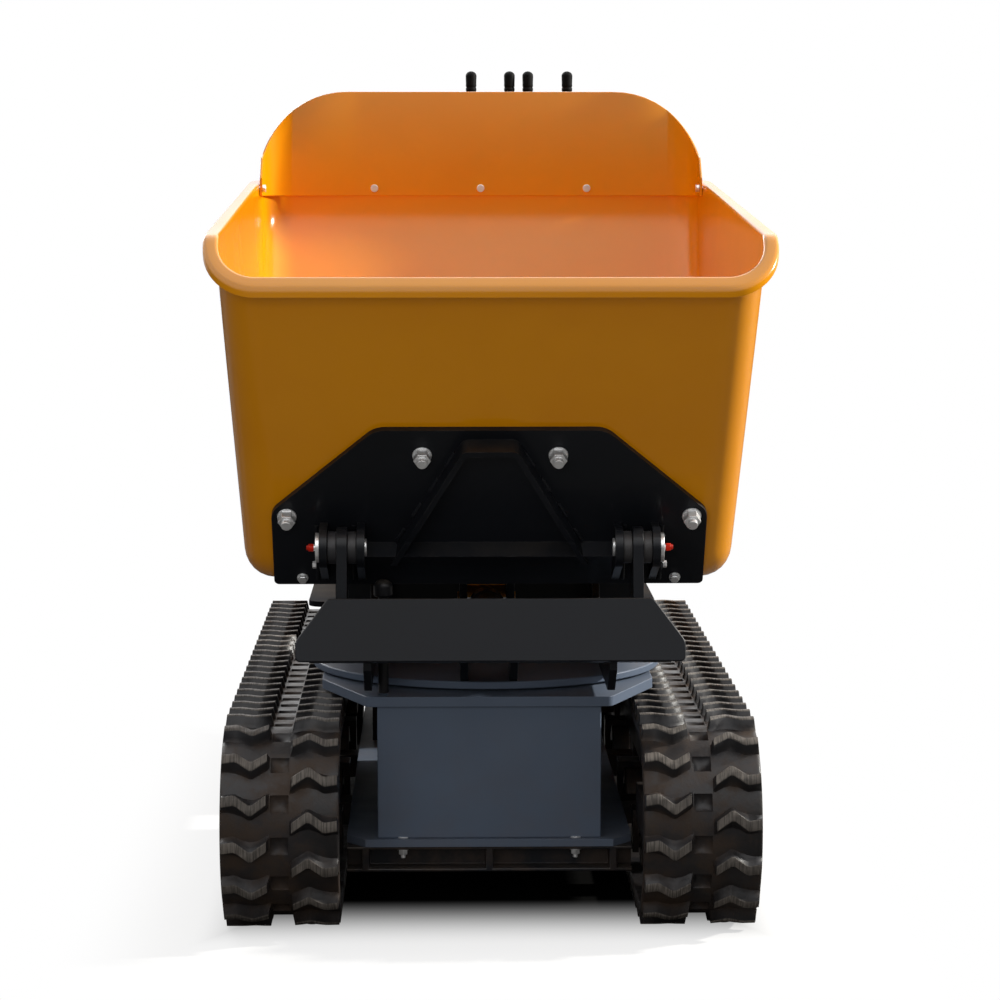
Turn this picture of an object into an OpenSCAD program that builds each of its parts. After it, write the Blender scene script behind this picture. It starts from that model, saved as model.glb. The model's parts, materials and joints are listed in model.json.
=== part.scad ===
// Tracked power carrier with a swivelling front-tip skip.
// Millimetres, +Z up, the machine looks towards -Y.
// Y is worked out from the middle of the tracks and shifted once, by placed().

/* [Tracks] */
// Width of one rubber track
track_w = 180; // [160:5:200]
// Pitch of the track's links
track_pitch = 60; // [54:1:64]
// Links in one track
track_links = 58; // [56:1:62]
// Distance between the middles of the two tracks
track_gauge = 640; // [620:5:680]
// Inner radius of the belt round the wheels
belt_r = 128; // [122:1:132]
// Thickness of the belt without its lugs
belt_t = 18; // [16:1:22]
// Height of the lugs over the belt
lug_h = 17; // [12:1:20]
// Thickness of a lug along the track
lug_t = 18; // [12:1:20]
// Radius of the lower rollers
roller_r = 42; // [36:1:46]
// Distance between the lower rollers
roller_pitch = 420; // [380:5:430]

/* [Chassis] */
// Height of the cross beams over the ground
ground_clear = 67; // [62:1:80]
// Height of the cross beams
beam_h = 40; // [30:1:45]
// Thickness of the lower base plate
base_t = 12; // [8:1:16]
// Width of the lower base plate
base_w = 450; // [420:5:455]
// Width of the pedestal box
pedestal_w = 352; // [335:1:370]
// Length of the pedestal box
pedestal_l = 658; // [600:2:700]
// Height of the pedestal box
pedestal_h = 211; // [208:1:230]
// Wall of the pedestal box
pedestal_wall = 8; // [5:1:10]
// Overhang of the base plates past the pedestal box at the front
plate_lead = 10; // [5:1:20]

/* [Slew] */
// Distance of the slew axis in front of the middle of the tracks
slew_fwd = 261; // [240:1:280]
// Thickness of the slew base plate
slew_plate_t = 16; // [12:1:20]
// Widest width of the slew base plate
slew_plate_w = 536; // [510:2:548]
// Thickness of the wear ring under the turntable
wear_t = 3; // [2:0.5:5]
// Radius of the turntable disc
disc_r = 288; // [270:1:300]
// Thickness of the turntable disc
disc_t = 12; // [8:1:16]
// Radius of the kingpin
kingpin_r = 50; // [40:1:55]
// Module of the slew gear
gear_module = 5; // [4.6:0.1:5.1]
// Teeth of the slew gear
gear_teeth = 60; // [56:2:60]
// Teeth of the slew pinion
pinion_teeth = 12; // [12:1:13]
// Width of the slew gear's teeth
gear_face = 30; // [20:1:36]

/* [Hinge and tipping] */
// Distance of the hinge axis in front of the slew axis
hinge_fwd = 377; // [370:1:385]
// Height of the hinge axis over the turntable disc
hinge_h = 225; // [222:1:240]
// Radius of the hinge pins
hinge_pin_r = 14; // [10:0.5:16]
// Radius of the hinge bosses
hinge_boss_r = 32; // [28:1:34]
// Distance between the middles of the hinge uprights
upright_gauge = 456; // [448:2:470]
// Thickness of the hinge uprights
upright_t = 16; // [12:1:18]
// Length of the bush on each side of an upright
bush_l = 15; // [10:1:18]
// Thickness of the skip's hinge ears
ear_t = 12; // [8:1:14]
// Thickness of the hinge plate
hinge_plate_t = 10; // [6:1:12]
// Outer radius of the tip cylinder
barrel_r = 27; // [26:0.5:30]
// Bore radius of the tip cylinder
barrel_bore_r = 22.5; // [20:0.5:24]
// Radius of the cylinder rod
rod_r = 14; // [10:0.5:16]
// Radius of the cylinder's cross pins
cross_pin_r = 12; // [9:0.5:14]

/* [Skip] */
// Width over the skip's rim
skip_w = 855; // [830:5:880]
// Thickness of the skip's sheet
sheet_t = 5; // [4:0.5:6]
// Width of the rim's flange
rim_flange = 18; // [14:1:26]
// Depth of the rim's return lip
rim_lip = 14; // [10:1:20]
// Depth of the skip at its front rim
skip_front_h = 485; // [460:5:510]
// Lean of the front wall from upright, in degrees
front_lean = 32.5; // [30:0.5:35]
// Length of the flat floor
floor_l = 530; // [500:5:560]
// Width of the floor inside the skip
floor_w = 760; // [730:5:780]
// Length of the rear slope, measured level
rear_run = 390; // [360:5:410]
// Height of the rear slope
rear_slope_h = 546; // [520:2:560]
// Radius of the skip's upright corners
skip_corner_r = 58; // [50:1:62]
// Radius between the floor and the walls
floor_fillet = 40; // [30:1:48]
// Length of the steep front stretch of the side rims
rim_front_run = 70; // [68:1:80]
// Slope of the front stretch of the side rims, in degrees
rim_front_slope = 40; // [36:1:44]
// Slope of the side rims behind the kink, in degrees
rim_rear_slope = 4; // [2:0.5:5]
// Height of the rear hood
hood_h = 192; // [180:2:220]
// Sheet of the rear hood
hood_t = 4; // [3:0.5:5]
// Radius of the rear hood's top corners
hood_corner_r = 160; // [130:5:175]

/* [Front guard] */
// Width of the guard at its foot
guard_w = 596; // [560:2:620]
// Width of the guard at its top
guard_top_w = 498; // [480:2:520]
// Height of the guard
guard_h = 97; // [80:1:104]
// Thickness of the guard
guard_t = 8; // [6:1:10]

/* [Rear body] */
// Width of the rear deck
deck_w = 634; // [600:2:650]
// Height of the rear deck's top
deck_z = 386; // [376:1:400]
// Thickness of the rear deck
deck_t = 10; // [8:1:14]
// Width of the engine cowl
cowl_w = 600; // [580:2:630]
// Length of the engine cowl
cowl_l = 380; // [370:2:400]
// Height of the engine cowl
cowl_h = 574; // [560:2:600]
// Sheet of the engine cowl
cowl_t = 3; // [2:0.5:4]
// Distance of the cowl behind the middle of the tracks
cowl_back = 565; // [560:1:580]
// Length of the console behind the engine hood
console_l = 118; // [110:1:130]
// Width of the control console
console_w = 480; // [440:5:500]
// Height of the control console
console_h = 100; // [90:1:120]
// Height of the lever grips' tops over the ground
lever_top_z = 1369; // [1330:1:1400]
// Radius of the lever grips
grip_r = 11; // [9:0.5:12]
// Length of the lever grips
grip_l = 110; // [90:1:130]
// Width of the operator's platform
platform_w = 460; // [420:5:500]
// Length of the operator's platform
platform_l = 225; // [200:5:260]

/* [Hidden] */
// Running clearances: pins in bores, faces that pass, loose holes and seats
fit = 0.05;
pass = 0.5;
loose = 1;
seat = 0.3;
// Pieces of one weldment run this far into each other
weld = 2;
$fn = 48;

// Tracks
track_x = track_gauge / 2;
pitch_r = belt_r + belt_t / 2;
wheel_base = (track_links * track_pitch - 2 * PI * pitch_r) / 2;
wheel_z = belt_r + belt_t + lug_h;
front_axle_y = -wheel_base / 2;
rear_axle_y = wheel_base / 2;
run_z = lug_h + belt_t;
lug_w = track_w * 0.41;
lug_edge = 1;
horn_gap = 36;
rim_out = track_w / 2 - 20;
rim_in = horn_gap + 2;
axle_r = 12;
arm_in = rim_out + 4;
arm_t = 10;
idler_axle_r = 15;
roller_ys = [-roller_pitch, 0, roller_pitch];
roller_z = run_z + roller_r + seat;
beam_front = front_axle_y + belt_r + 30;
beam_rear = rear_axle_y - belt_r - 30;
slide_half_w = 20;
slide_half_h = 16;
slide_l = 130;
tension_travel = 15;
skid_half = 14;
motor_r = 60;
motor_plate_t = 12;
spindle_r = 34;
sprocket_t = 24;
sprocket_hub_l = 52;

// Chassis
base_z = ground_clear + beam_h;
pedestal_z = base_z + base_t;
slew_plate_z = pedestal_z + pedestal_h;
slew_top_z = slew_plate_z + slew_plate_t;
disc_z = slew_top_z + wear_t;
disc_top = disc_z + disc_t;
slew_y = -slew_fwd;
pedestal_front = slew_y - pedestal_l / 2;
base_rear = rear_axle_y + 50;
base_chamfer = 30;
beam_w = 60;
member_y = roller_pitch / 2;
frame_in = 45;
frame_z = run_z + 2 * roller_r + 12;
frame_top = frame_z + 75;

// Slew drive
kingpin_low = 152;
gear_r = gear_module * gear_teeth / 2;
pinion_r = gear_module * pinion_teeth / 2;
gear_gap = 0.6;
gear_centres = gear_r + pinion_r + gear_gap;
gear_z = kingpin_low + 4;
motor_y = slew_y + gear_centres;
housing_r = kingpin_r + 20;
housing_h = slew_plate_z - gear_z - gear_face - 12;
pinion_shaft_r = 10;

// Hinge and tip cylinder, seen from the side as [y, z]
hinge_y = slew_y - hinge_fwd;
hinge_z = disc_top + hinge_h;
upright_x = upright_gauge / 2;
ear_in_x = upright_x - upright_t / 2 - bush_l - ear_t;
ear_out_x = upright_x + upright_t / 2 + bush_l;
pin_head_t = 6;
cap_l = 11;
base_pivot = [hinge_y + 38, hinge_z - 156];
rod_pivot = [hinge_y + 338, hinge_z - 126];
cyl_closed = norm(rod_pivot - base_pivot);
cyl_angle = atan2(rod_pivot[1] - base_pivot[1], rod_pivot[0] - base_pivot[0]);
eye_r = 24;
gland_step = 2;
eye_w = 2 * (barrel_r + gland_step + 3 * loose);
lug_gap = eye_w / 2 + loose;
cyl_lug_t = 12;
cross_pin_l = 2 * (lug_gap + cyl_lug_t + 3);
tube_start = eye_r - 4;
tube_end = cyl_closed - eye_r - 16;
gland_l = 26;
tip_slack = [-10.5, -20.8];
slot_play = 4;
piston_l = 14;

// Skip, whose floor and front follow the hinge
floor_z = hinge_z - 59;
floor_front = hinge_y + 108;
floor_rear = floor_front + floor_l;
rear_wall_y = floor_rear + rear_run;
rim_half = skip_w / 2 - rim_flange - sheet_t;
front_run = skip_front_h * tan(front_lean);
front_rim_y = floor_front - front_run;
kink_y = front_rim_y + rim_front_run;
kink_z = floor_z + skip_front_h + rim_front_run * tan(rim_front_slope);
rear_rim_z = kink_z + (rear_wall_y - kink_y) * tan(rim_rear_slope);
slope_share = rear_slope_h / (rear_rim_z - floor_z);
under_z = floor_z - sheet_t;
corner_steps = 6;
wall_low = [floor_front - sheet_t, floor_z];
wall_high = [front_rim_y - sheet_t, floor_z + skip_front_h - sheet_t * tan(rim_front_slope)];
wall_lean = atan2(wall_low[0] - wall_high[0], wall_high[1] - wall_low[1]);

// Hinge plate, measured on the front wall from the floor's height up
plate_low = -6;
plate_side = 140;
plate_high = 298;
plate_half = 338;
plate_top_half = 176;
plate_gap = 0.05;
stud_r = 8;
studs = [[104, 252], [314, 132]];
washer_r = 15;
nut_r = 13.5;

// Rear hood
hood_gap = 0.4;
hood_low = rear_rim_z - 30;
hood_high = hood_low + hood_h;
hood_rear = rear_wall_y - hood_gap;
hood_half = rim_half - 1 - hood_gap;
hood_wing = 45;
hood_bolt_r = 4;
hood_bolt_z = hood_low + 14;
hood_bolt_x = 197;
wing_bolt_y = hood_rear - skip_corner_r - 18;
wing_bolt_step = 22;

// Swing frame
rail_x = 183;
rail_t = 12;
rail_h = 82;
rail_front = hinge_y - 52;
rail_rear = floor_rear - floor_fillet - 10;
post_y = rail_rear - 70;
guard_top = disc_top + 152;
guard_lean = 14;
lock_x = -166;
lock_inset = 24;
knob_r = 15;
knob_gap = 8;
// The plates reach so far forward that the lock pin's knob stands clear of the hinge plate
lock_rear = wall_low[0] - hinge_plate_t - knob_gap - knob_r;
plate_front = min(pedestal_front - plate_lead, lock_rear - lock_inset);
lock_y = plate_front + lock_inset;
lock_r = 8;
lock_arm = 26;
lock_low = slew_top_z + wear_t;
frame_low = disc_top + 66;
foot_t = 12;
knob_z = floor_z - 26;

// Rear body
deck_front = slew_y + 470;
cowl_y = cowl_back;
cowl_end = cowl_y + cowl_l;
deck_rear = cowl_end + 15;
deck_low = deck_z - deck_t;
web_x = 190;
web_t = 12;
cowl_top = deck_z + cowl_h;
lid_l = cowl_l - console_l - 3;
lid_h = 28;
lid_axis = [cowl_y - 4, cowl_top + 6];
knuckle_r = 7;
lid_pin_r = 4;
lever_x = [-12, 65, 102, 181];
lever_r = 6;
lever_y = cowl_end - console_l / 2;
lever_z = cowl_top + 40;
lever_l = lever_top_z - lever_z;
grip_low = lever_l - grip_l;
grip_bite = 30;
hub_r = 15;
hub_l = 26;
shaft_r = 7;
rail_r = 14;
rail_top_z = cowl_top + 190;
rail_half = console_w / 2 + 20;
rail_y = cowl_end + rail_r + 6;
rail_bend = 60;
platform_z = 246;
platform_t = 10;
platform_axis = [deck_rear + 14, platform_z];
platform_end = platform_axis[0] + platform_l;
throttle_y = lever_y;
throttle_z = cowl_top + 62;

// Engine group, measured from the middle of the engine's foot
engine_x = 20;
engine_y = cowl_y + 180;
engine_h = 320;
engine_foot = [110, 95, 24];
engine_case_half = 95;
engine_case_l = 80;
engine_case_h = 190;
engine_head = [50, 60];
starter_r = 92;
starter_l = 55;
starter_z = 120;
fins = 11;
fin_half = 78;
fin_w = 72;
fin_t = 4;
fin_step = 10;
drive_r = 16;
drive_l = 35;
drive_z = 110;
outlet = [118, 286];
outlet_r = 16;
can_half = 70;
can_l = 66;
can_gap = 6;
can_z = [216, 316];
port_z = 240;
port_r = 14;
fuel_half = 120;
fuel_front = 80;
fuel_rear = 70;
fuel_h = 120;
fuel_corner = 30;
fuel_leg = [34, 40, 20];
fuel_leg_r = 9;
fuel_cap = [50, -10, 28];
fuel_cap_r = 28;
pump_flange_r = 62;
pump_flange_l = 55;
pump_l = 76;
pump_half = 45;
pump_z = [60, 158];
pump_foot = [10, 50, 30];
oil_half = 250;
oil_l = 70;
oil_h = 300;
oil_corner = 14;
oil_cap_x = -180;
oil_cap_r = 26;
oil_cap_h = 24;

// Cowl, engine hood and platform details
cowl_corner = 22;
lid_corner = 6;
louvres = 7;
louvre_step = 26;
louvre_h = 10;
louvre_z = deck_z + 300;
louvre_front = cowl_y + 80;
louvre_rear = cowl_y + cowl_l - 130;
knuckle_x = 150;
knuckle_step = [10, 50];
knuckle_end = 30;
knuckle_web = 20;
console_nose = [30, 18];
console_wall = 4;
lever_swing = 26;
throttle_r = 12;
throttle_stub_r = 5;
throttle_stub_l = 20;
throttle_boss = 6;
throttle_arm = [8, 10, 62];
throttle_ball_r = 10;
rail_foot = 120;
rail_foot_r = 8;
tread_step = [48, 44];
tread_edge = 45;
tread_hole_r = 10;
platform_rib = [8, 26];
platform_pin_r = 6;
heel = [20, 10, 14];

// The whole machine is centred on its length
front_end = front_rim_y - sheet_t - rim_flange;
y_shift = -(front_end + platform_end) / 2;

paint_yellow = [0.93, 0.62, 0.05];
frame_black = [0.12, 0.13, 0.15];
slate_grey = [0.24, 0.27, 0.31];
rubber_black = [0.10, 0.095, 0.09];
bare_steel = [0.62, 0.63, 0.65];
zinc = [0.78, 0.79, 0.80];

// Helpers

function lerp(a, b, t) = a + (b - a) * t;

// Points of a rounded corner at b between a and c
function corner_points(a, b, c, r, steps = 5) =
    let (
        u = (a - b) / norm(a - b),
        v = (c - b) / norm(c - b),
        half = acos(u * v) / 2,
        start = b + u * r / tan(half),
        bisector = (u + v) / norm(u + v),
        middle = b + bisector * r / sin(half),
        a0 = atan2(start[1] - middle[1], start[0] - middle[0]),
        turn = 180 - 2 * half,
        sign = u[0] * v[1] - u[1] * v[0] > 0 ? -1 : 1
    )
    [for (i = [0 : steps]) middle + r * [cos(a0 + sign * turn * i / steps), sin(a0 + sign * turn * i / steps)]];

// A polygon's points with every corner rounded by its own radius, 0 for a sharp one
function rounded(points, radii) =
    let (n = len(points))
    [for (i = [0 : n - 1])
        each radii[i] == 0
            ? [points[i]]
            : corner_points(points[(i + n - 1) % n], points[i], points[(i + 1) % n], radii[i])];

// Half an outline mirrored over the Y axis to a whole one
function mirrored(points) =
    concat(points, [for (i = [len(points) - 1 : -1 : 0]) [-points[i][0], points[i][1]]]);

module placed() translate([0, y_shift, 0]) children();

// A side view, drawn as [y, z], given its thickness along X
module side_plate(x, t) translate([x, 0, 0]) rotate([90, 0, 90]) linear_extrude(t) children();

module on_both_sides() {
    children();
    mirror([1, 0, 0]) children();
}

// A cylinder along X
module bar_x(x0, x1, y, z, r) translate([x0, y, z]) rotate([0, 90, 0]) cylinder(r = r, h = x1 - x0);

// A cylinder along Y
module bar_y(y0, y1, x, z, r) translate([x, y0, z]) rotate([-90, 0, 0]) cylinder(r = r, h = y1 - y0);

module box(x0, x1, y0, y1, z0, z1) translate([x0, y0, z0]) cube([x1 - x0, y1 - y0, z1 - z0]);

// Chassis

function plate_outline(front_half, half, front, rear, chamfer) =
    [[-front_half, front], [front_half, front], [half, front + chamfer],
     [half, rear], [-half, rear], [-half, front + chamfer]];

module chassis_base_plate() {
    bolt_r = 6;
    front_half = base_w / 2 - base_chamfer;
    color(slate_grey)
    difference() {
        translate([0, 0, base_z])
        linear_extrude(base_t)
        polygon(plate_outline(front_half, base_w / 2, plate_front, base_rear, base_chamfer + 8));
        for (sx = [-1, 1], y = [base_rear - 20, base_rear - 80])
            translate([sx * 180, y, base_z - 1])
            cylinder(r = bolt_r, h = base_t + 2);
    }
}

module cross_beams() {
    rib_t = 12;
    rib_x = base_w / 2 - base_chamfer;
    front_w = 40;
    wall = 5;
    color(frame_black) {
        // Front beam: a channel with ribs, open to the front
        difference() {
            box(-base_w / 2, base_w / 2, plate_front + 2, plate_front + 2 + front_w, ground_clear, base_z);
            box(-base_w, base_w, plate_front, plate_front + front_w - wall, ground_clear + wall, base_z - wall);
        }
        for (x = [-rib_x, 0, rib_x])
            box(x - rib_t / 2, x + rib_t / 2, plate_front + 2, plate_front + front_w, ground_clear, base_z);
        // Two beams carry the track frames
        for (sy = [-1, 1])
            box(-track_x + frame_in, track_x - frame_in,
                sy * member_y - beam_w / 2, sy * member_y + beam_w / 2, ground_clear, base_z);
    }
}

module pedestal_box() {
    half = pedestal_w / 2;
    color(slate_grey)
    difference() {
        box(-half, half, pedestal_front, pedestal_front + pedestal_l, pedestal_z, slew_plate_z);
        box(-half + pedestal_wall, half - pedestal_wall, pedestal_front + pedestal_wall,
            pedestal_front + pedestal_l - pedestal_wall, pedestal_z - 1, slew_plate_z + 1);
    }
}

module slew_base_plate() {
    front_half = pedestal_w / 2 + 16;
    chamfer = 180;
    rear = pedestal_front + pedestal_l + plate_lead;
    color(slate_grey)
    difference() {
        union() {
            translate([0, 0, slew_plate_z])
            linear_extrude(slew_plate_t)
            polygon(rounded(plate_outline(front_half, slew_plate_w / 2, plate_front, rear, chamfer),
                            [12, 12, 30, 12, 12, 30]));
            translate([0, slew_y, slew_plate_z - housing_h])
            cylinder(r = housing_r, h = housing_h + weld);
        }
        translate([0, slew_y, slew_plate_z - housing_h - 1])
        cylinder(r = kingpin_r + fit, h = housing_h + slew_plate_t + 2);
        translate([lock_x, lock_y, slew_plate_z - 1])
        cylinder(r = lock_r + seat, h = slew_plate_t + 2);
    }
}

// Tracks

// Place along the loop for a length s on the pitch line: [y, z, turn], turn 0 on the top run
function loop_place(s) =
    let (
        arc = PI * pitch_r,
        a = s - wheel_base,
        b = a - arc,
        c = b - wheel_base
    )
    a < 0 ? [front_axle_y + s, wheel_z + pitch_r, 0] :
    b < 0 ? [rear_axle_y + pitch_r * sin(180 * a / arc), wheel_z + pitch_r * cos(180 * a / arc),
             -180 * a / arc] :
    c < 0 ? [rear_axle_y - b, wheel_z - pitch_r, 180] :
    [front_axle_y - pitch_r * sin(180 * c / arc), wheel_z - pitch_r * cos(180 * c / arc),
     180 - 180 * c / arc];

// Middle line of one lug, from the track's outer edge to the centre channel
function lug_line() = [[0, 0], [0.3, 3], [0.62, -12], [1, 5]];

module lug() {
    line = lug_line();
    n = len(line) - 1;
    bite = 3;
    translate([0, 0, belt_t / 2 - bite])
    linear_extrude(lug_h + bite)
    polygon(concat(
        [for (p = line) [-track_w / 2 + lug_edge + p[0] * lug_w, p[1] + lug_t / 2]],
        [for (i = [n : -1 : 0]) [-track_w / 2 + lug_edge + line[i][0] * lug_w, line[i][1] - lug_t / 2]]));
}

module belt() {
    half = track_w / 2;
    for (end = [[front_axle_y, 90], [rear_axle_y, -90]])
        translate([-half, end[0], wheel_z])
        rotate([0, 90, 0])
        rotate([0, 0, end[1] + 90])
        rotate_extrude(angle = 180)
        translate([belt_r, 0])
        square([belt_t, track_w]);
    for (z = [lug_h, wheel_z + belt_r])
        box(-half, half, front_axle_y, rear_axle_y, z, z + belt_t);
}

module rubber_track(x) {
    color(rubber_black)
    translate([x, 0, 0])
    difference() {
        union() {
            belt();
            for (i = [0 : track_links - 1], side = [0, 1]) {
                place = loop_place((i + side / 2 + 0.25) * track_pitch);
                translate([0, place[0], place[1]])
                rotate([place[2], 0, 0])
                rotate([0, 0, 180 * side])
                lug();
            }
        }
        // The lugs that lean under the wheels are level with the ground
        box(-track_w, track_w, front_axle_y - wheel_z, rear_axle_y + wheel_z, -lug_h, 0);
    }
}

module rubber_track_left() rubber_track(-track_x);
module rubber_track_right() rubber_track(track_x);

// Drawn for the right side, at the track's middle
module track_frame_at() {
    motor_plate_end = rear_axle_y + motor_r + 22;
    bracket_half = 26;
    difference() {
        union() {
            box(-frame_in, frame_in, beam_front, beam_rear, frame_z, frame_top);
            // Motor plate
            box(-frame_in, -frame_in + motor_plate_t, beam_rear - 25, motor_plate_end,
                wheel_z - motor_r - 10, wheel_z + motor_r + 10);
            // Skid rail under the upper run
            box(-skid_half, skid_half, beam_front + beam_w, beam_rear - beam_w, frame_top - weld,
                wheel_z + belt_r - seat);
            // Blocks down to the cross beams
            for (sy = [-1, 1])
                box(-frame_in, frame_in, sy * member_y - beam_w / 2, sy * member_y + beam_w / 2,
                    ground_clear, frame_z + weld);
            // Roller brackets
            for (y = roller_ys) {
                box(-arm_in - arm_t, arm_in + arm_t, y - bracket_half, y + bracket_half,
                    frame_z - 8, frame_z + weld);
                on_both_sides()
                box(arm_in, arm_in + arm_t, y - axle_r - 6, y + axle_r + 6, roller_z - axle_r - 4, frame_z);
                bar_x(-arm_in - weld, arm_in + weld, y, roller_z, axle_r);
            }
        }
        // Bores for the motor and for the yoke's slide bar
        bar_x(-frame_in - 1, -frame_in + motor_plate_t + 1, rear_axle_y, wheel_z, motor_r + seat);
        box(-slide_half_w - fit, slide_half_w + fit,
            beam_front - 1, beam_front + slide_l + tension_travel + loose,
            wheel_z - slide_half_h - fit, wheel_z + slide_half_h + fit);
    }
}

module track_frame_right() color(frame_black) translate([track_x, 0, 0]) track_frame_at();
module track_frame_left() color(frame_black) mirror([1, 0, 0]) translate([track_x, 0, 0]) track_frame_at();

module travel_motor_at() {
    flange_t = 10;
    bolt_ring_r = motor_r + 10;
    motor_end = -sprocket_t / 2 - 4;
    bar_x(-track_w / 2 + 10, motor_end, rear_axle_y, wheel_z, motor_r);
    difference() {
        bar_x(-frame_in - flange_t, -frame_in, rear_axle_y, wheel_z, motor_r + 18);
        for (a = [30 : 60 : 330])
            bar_x(-frame_in - flange_t - 1, -frame_in + 1, rear_axle_y + bolt_ring_r * cos(a),
                  wheel_z + bolt_ring_r * sin(a), 4);
    }
    bar_x(motor_end - weld, sprocket_hub_l - sprocket_t / 2 + 6, rear_axle_y, wheel_z, spindle_r);
}

module travel_motor_right() color([0.2, 0.2, 0.21]) translate([track_x, 0, 0]) travel_motor_at();
module travel_motor_left()
    color([0.2, 0.2, 0.21]) mirror([1, 0, 0]) translate([track_x, 0, 0]) travel_motor_at();

module drive_sprocket_at() {
    teeth = 14;
    tip_r = belt_r - pass;
    root_r = tip_r - 22;
    hub_r = 72;
    step = 360 / teeth;
    translate([-sprocket_t / 2, rear_axle_y, wheel_z])
    rotate([0, 90, 0])
    difference() {
        union() {
            linear_extrude(sprocket_t)
            polygon([for (i = [0 : teeth - 1], k = [[-0.34, 0], [-0.16, 1], [0.16, 1], [0.34, 0]])
                (k[1] == 1 ? tip_r : root_r) * [cos(step * (i + k[0])), sin(step * (i + k[0]))]]);
            cylinder(r = hub_r, h = sprocket_hub_l);
        }
        translate([0, 0, -1])
        cylinder(r = spindle_r + fit, h = sprocket_hub_l + 2);
        for (a = [0 : 60 : 300])
            rotate([0, 0, a])
            translate([hub_r + 14, 0, -1])
            cylinder(r = 7, h = sprocket_t + 2);
    }
}

module drive_sprocket_right() color(bare_steel) translate([track_x, 0, 0]) drive_sprocket_at();
module drive_sprocket_left()
    color(bare_steel) mirror([1, 0, 0]) translate([track_x, 0, 0]) drive_sprocket_at();

module idler_yoke_at() {
    arm_h = 30;
    back_t = 12;
    back = beam_front - tension_travel - back_t - loose;
    on_both_sides()
    box(arm_in, arm_in + arm_t, front_axle_y - arm_h, back, wheel_z - arm_h, wheel_z + arm_h);
    bar_x(-arm_in - weld, arm_in + weld, front_axle_y, wheel_z, idler_axle_r);
    box(-arm_in - arm_t, arm_in + arm_t, back - weld, back + back_t, wheel_z - arm_h, wheel_z + arm_h);
    box(-slide_half_w, slide_half_w, back, beam_front + slide_l,
        wheel_z - slide_half_h, wheel_z + slide_half_h);
}

module idler_yoke_right() color(frame_black) translate([track_x, 0, 0]) idler_yoke_at();
module idler_yoke_left() color(frame_black) mirror([1, 0, 0]) translate([track_x, 0, 0]) idler_yoke_at();

// A wheel with two rims and a low middle that leaves room for the belt's guide horns
module rimmed_wheel(x, y, z, r, middle_r, bore_r) {
    translate([x, y, z])
    rotate([0, 90, 0])
    rotate_extrude()
    polygon([[bore_r, -rim_out], [r, -rim_out], [r, -rim_in], [middle_r, -rim_in],
             [middle_r, rim_in], [r, rim_in], [r, rim_out], [bore_r, rim_out]]);
}

module idler_wheel_at() {
    recess_r = belt_r - 30;
    difference() {
        rimmed_wheel(0, front_axle_y, wheel_z, belt_r - pass, belt_r - 26, idler_axle_r + fit);
        for (x = [-rim_out - 1, rim_out - 19])
            translate([x, front_axle_y, wheel_z])
            rotate([0, 90, 0])
            difference() {
                cylinder(r = recess_r, h = 20);
                translate([0, 0, -1])
                cylinder(r = 34, h = 22);
            }
    }
}

module idler_wheel_right() color([0.16, 0.16, 0.17]) translate([track_x, 0, 0]) idler_wheel_at();
module idler_wheel_left() color([0.16, 0.16, 0.17]) translate([-track_x, 0, 0]) idler_wheel_at();

module track_roller(side, index) {
    color([0.16, 0.16, 0.17])
    rimmed_wheel(side * track_x, roller_ys[index], roller_z, roller_r, 20, axle_r + fit);
}

module track_roller_left_1() track_roller(-1, 0);
module track_roller_left_2() track_roller(-1, 1);
module track_roller_left_3() track_roller(-1, 2);
module track_roller_right_1() track_roller(1, 0);
module track_roller_right_2() track_roller(1, 1);
module track_roller_right_3() track_roller(1, 2);

// Slew drive

module slew_wear_ring() {
    color([0.72, 0.55, 0.25])
    translate([0, slew_y, slew_top_z])
    difference() {
        cylinder(r = pedestal_w / 2 + 50, h = wear_t);
        translate([0, 0, -1])
        cylinder(r = pedestal_w / 2 - 20, h = wear_t + 2);
    }
}

// A straight-flanked spur gear with its first tooth along +Y, or its first gap
module spur_gear(teeth, face, bore_r, gap_first) {
    r = gear_module * teeth / 2;
    tip = r + gear_module * 0.9;
    root = r - gear_module * 1.2;
    step = 360 / teeth;
    start = 90 + (gap_first ? step / 2 : 0);
    difference() {
        linear_extrude(face)
        polygon([for (i = [0 : teeth - 1], k = [[-0.34, root], [-0.1, tip], [0.1, tip], [0.34, root]])
            k[1] * [cos(start + step * (i + k[0])), sin(start + step * (i + k[0]))]]);
        translate([0, 0, -1])
        cylinder(r = bore_r, h = face + 2);
    }
}

module slew_gear() {
    color(bare_steel)
    translate([0, slew_y, gear_z])
    spur_gear(gear_teeth, gear_face, kingpin_r + fit, false);
}

module slew_pinion() {
    color(bare_steel)
    translate([0, motor_y, gear_z])
    rotate([0, 0, 180])
    spur_gear(pinion_teeth, gear_face, pinion_shaft_r + fit, true);
}

module slew_motor() {
    body_r = 42;
    color([0.2, 0.2, 0.21]) {
        translate([0, motor_y, gear_z + gear_face + 6])
        cylinder(r = body_r, h = slew_plate_z - gear_z - gear_face - 6);
        translate([0, motor_y, gear_z - 2])
        cylinder(r = pinion_shaft_r, h = gear_face + 10);
    }
}

module turntable_disc() {
    color(slate_grey)
    translate([0, slew_y, 0]) {
        translate([0, 0, disc_z])
        cylinder(r = disc_r, h = disc_t, $fn = 96);
        translate([0, 0, kingpin_low])
        cylinder(r = kingpin_r, h = disc_z - kingpin_low + weld);
    }
}

// Swing frame and its guard

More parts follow.
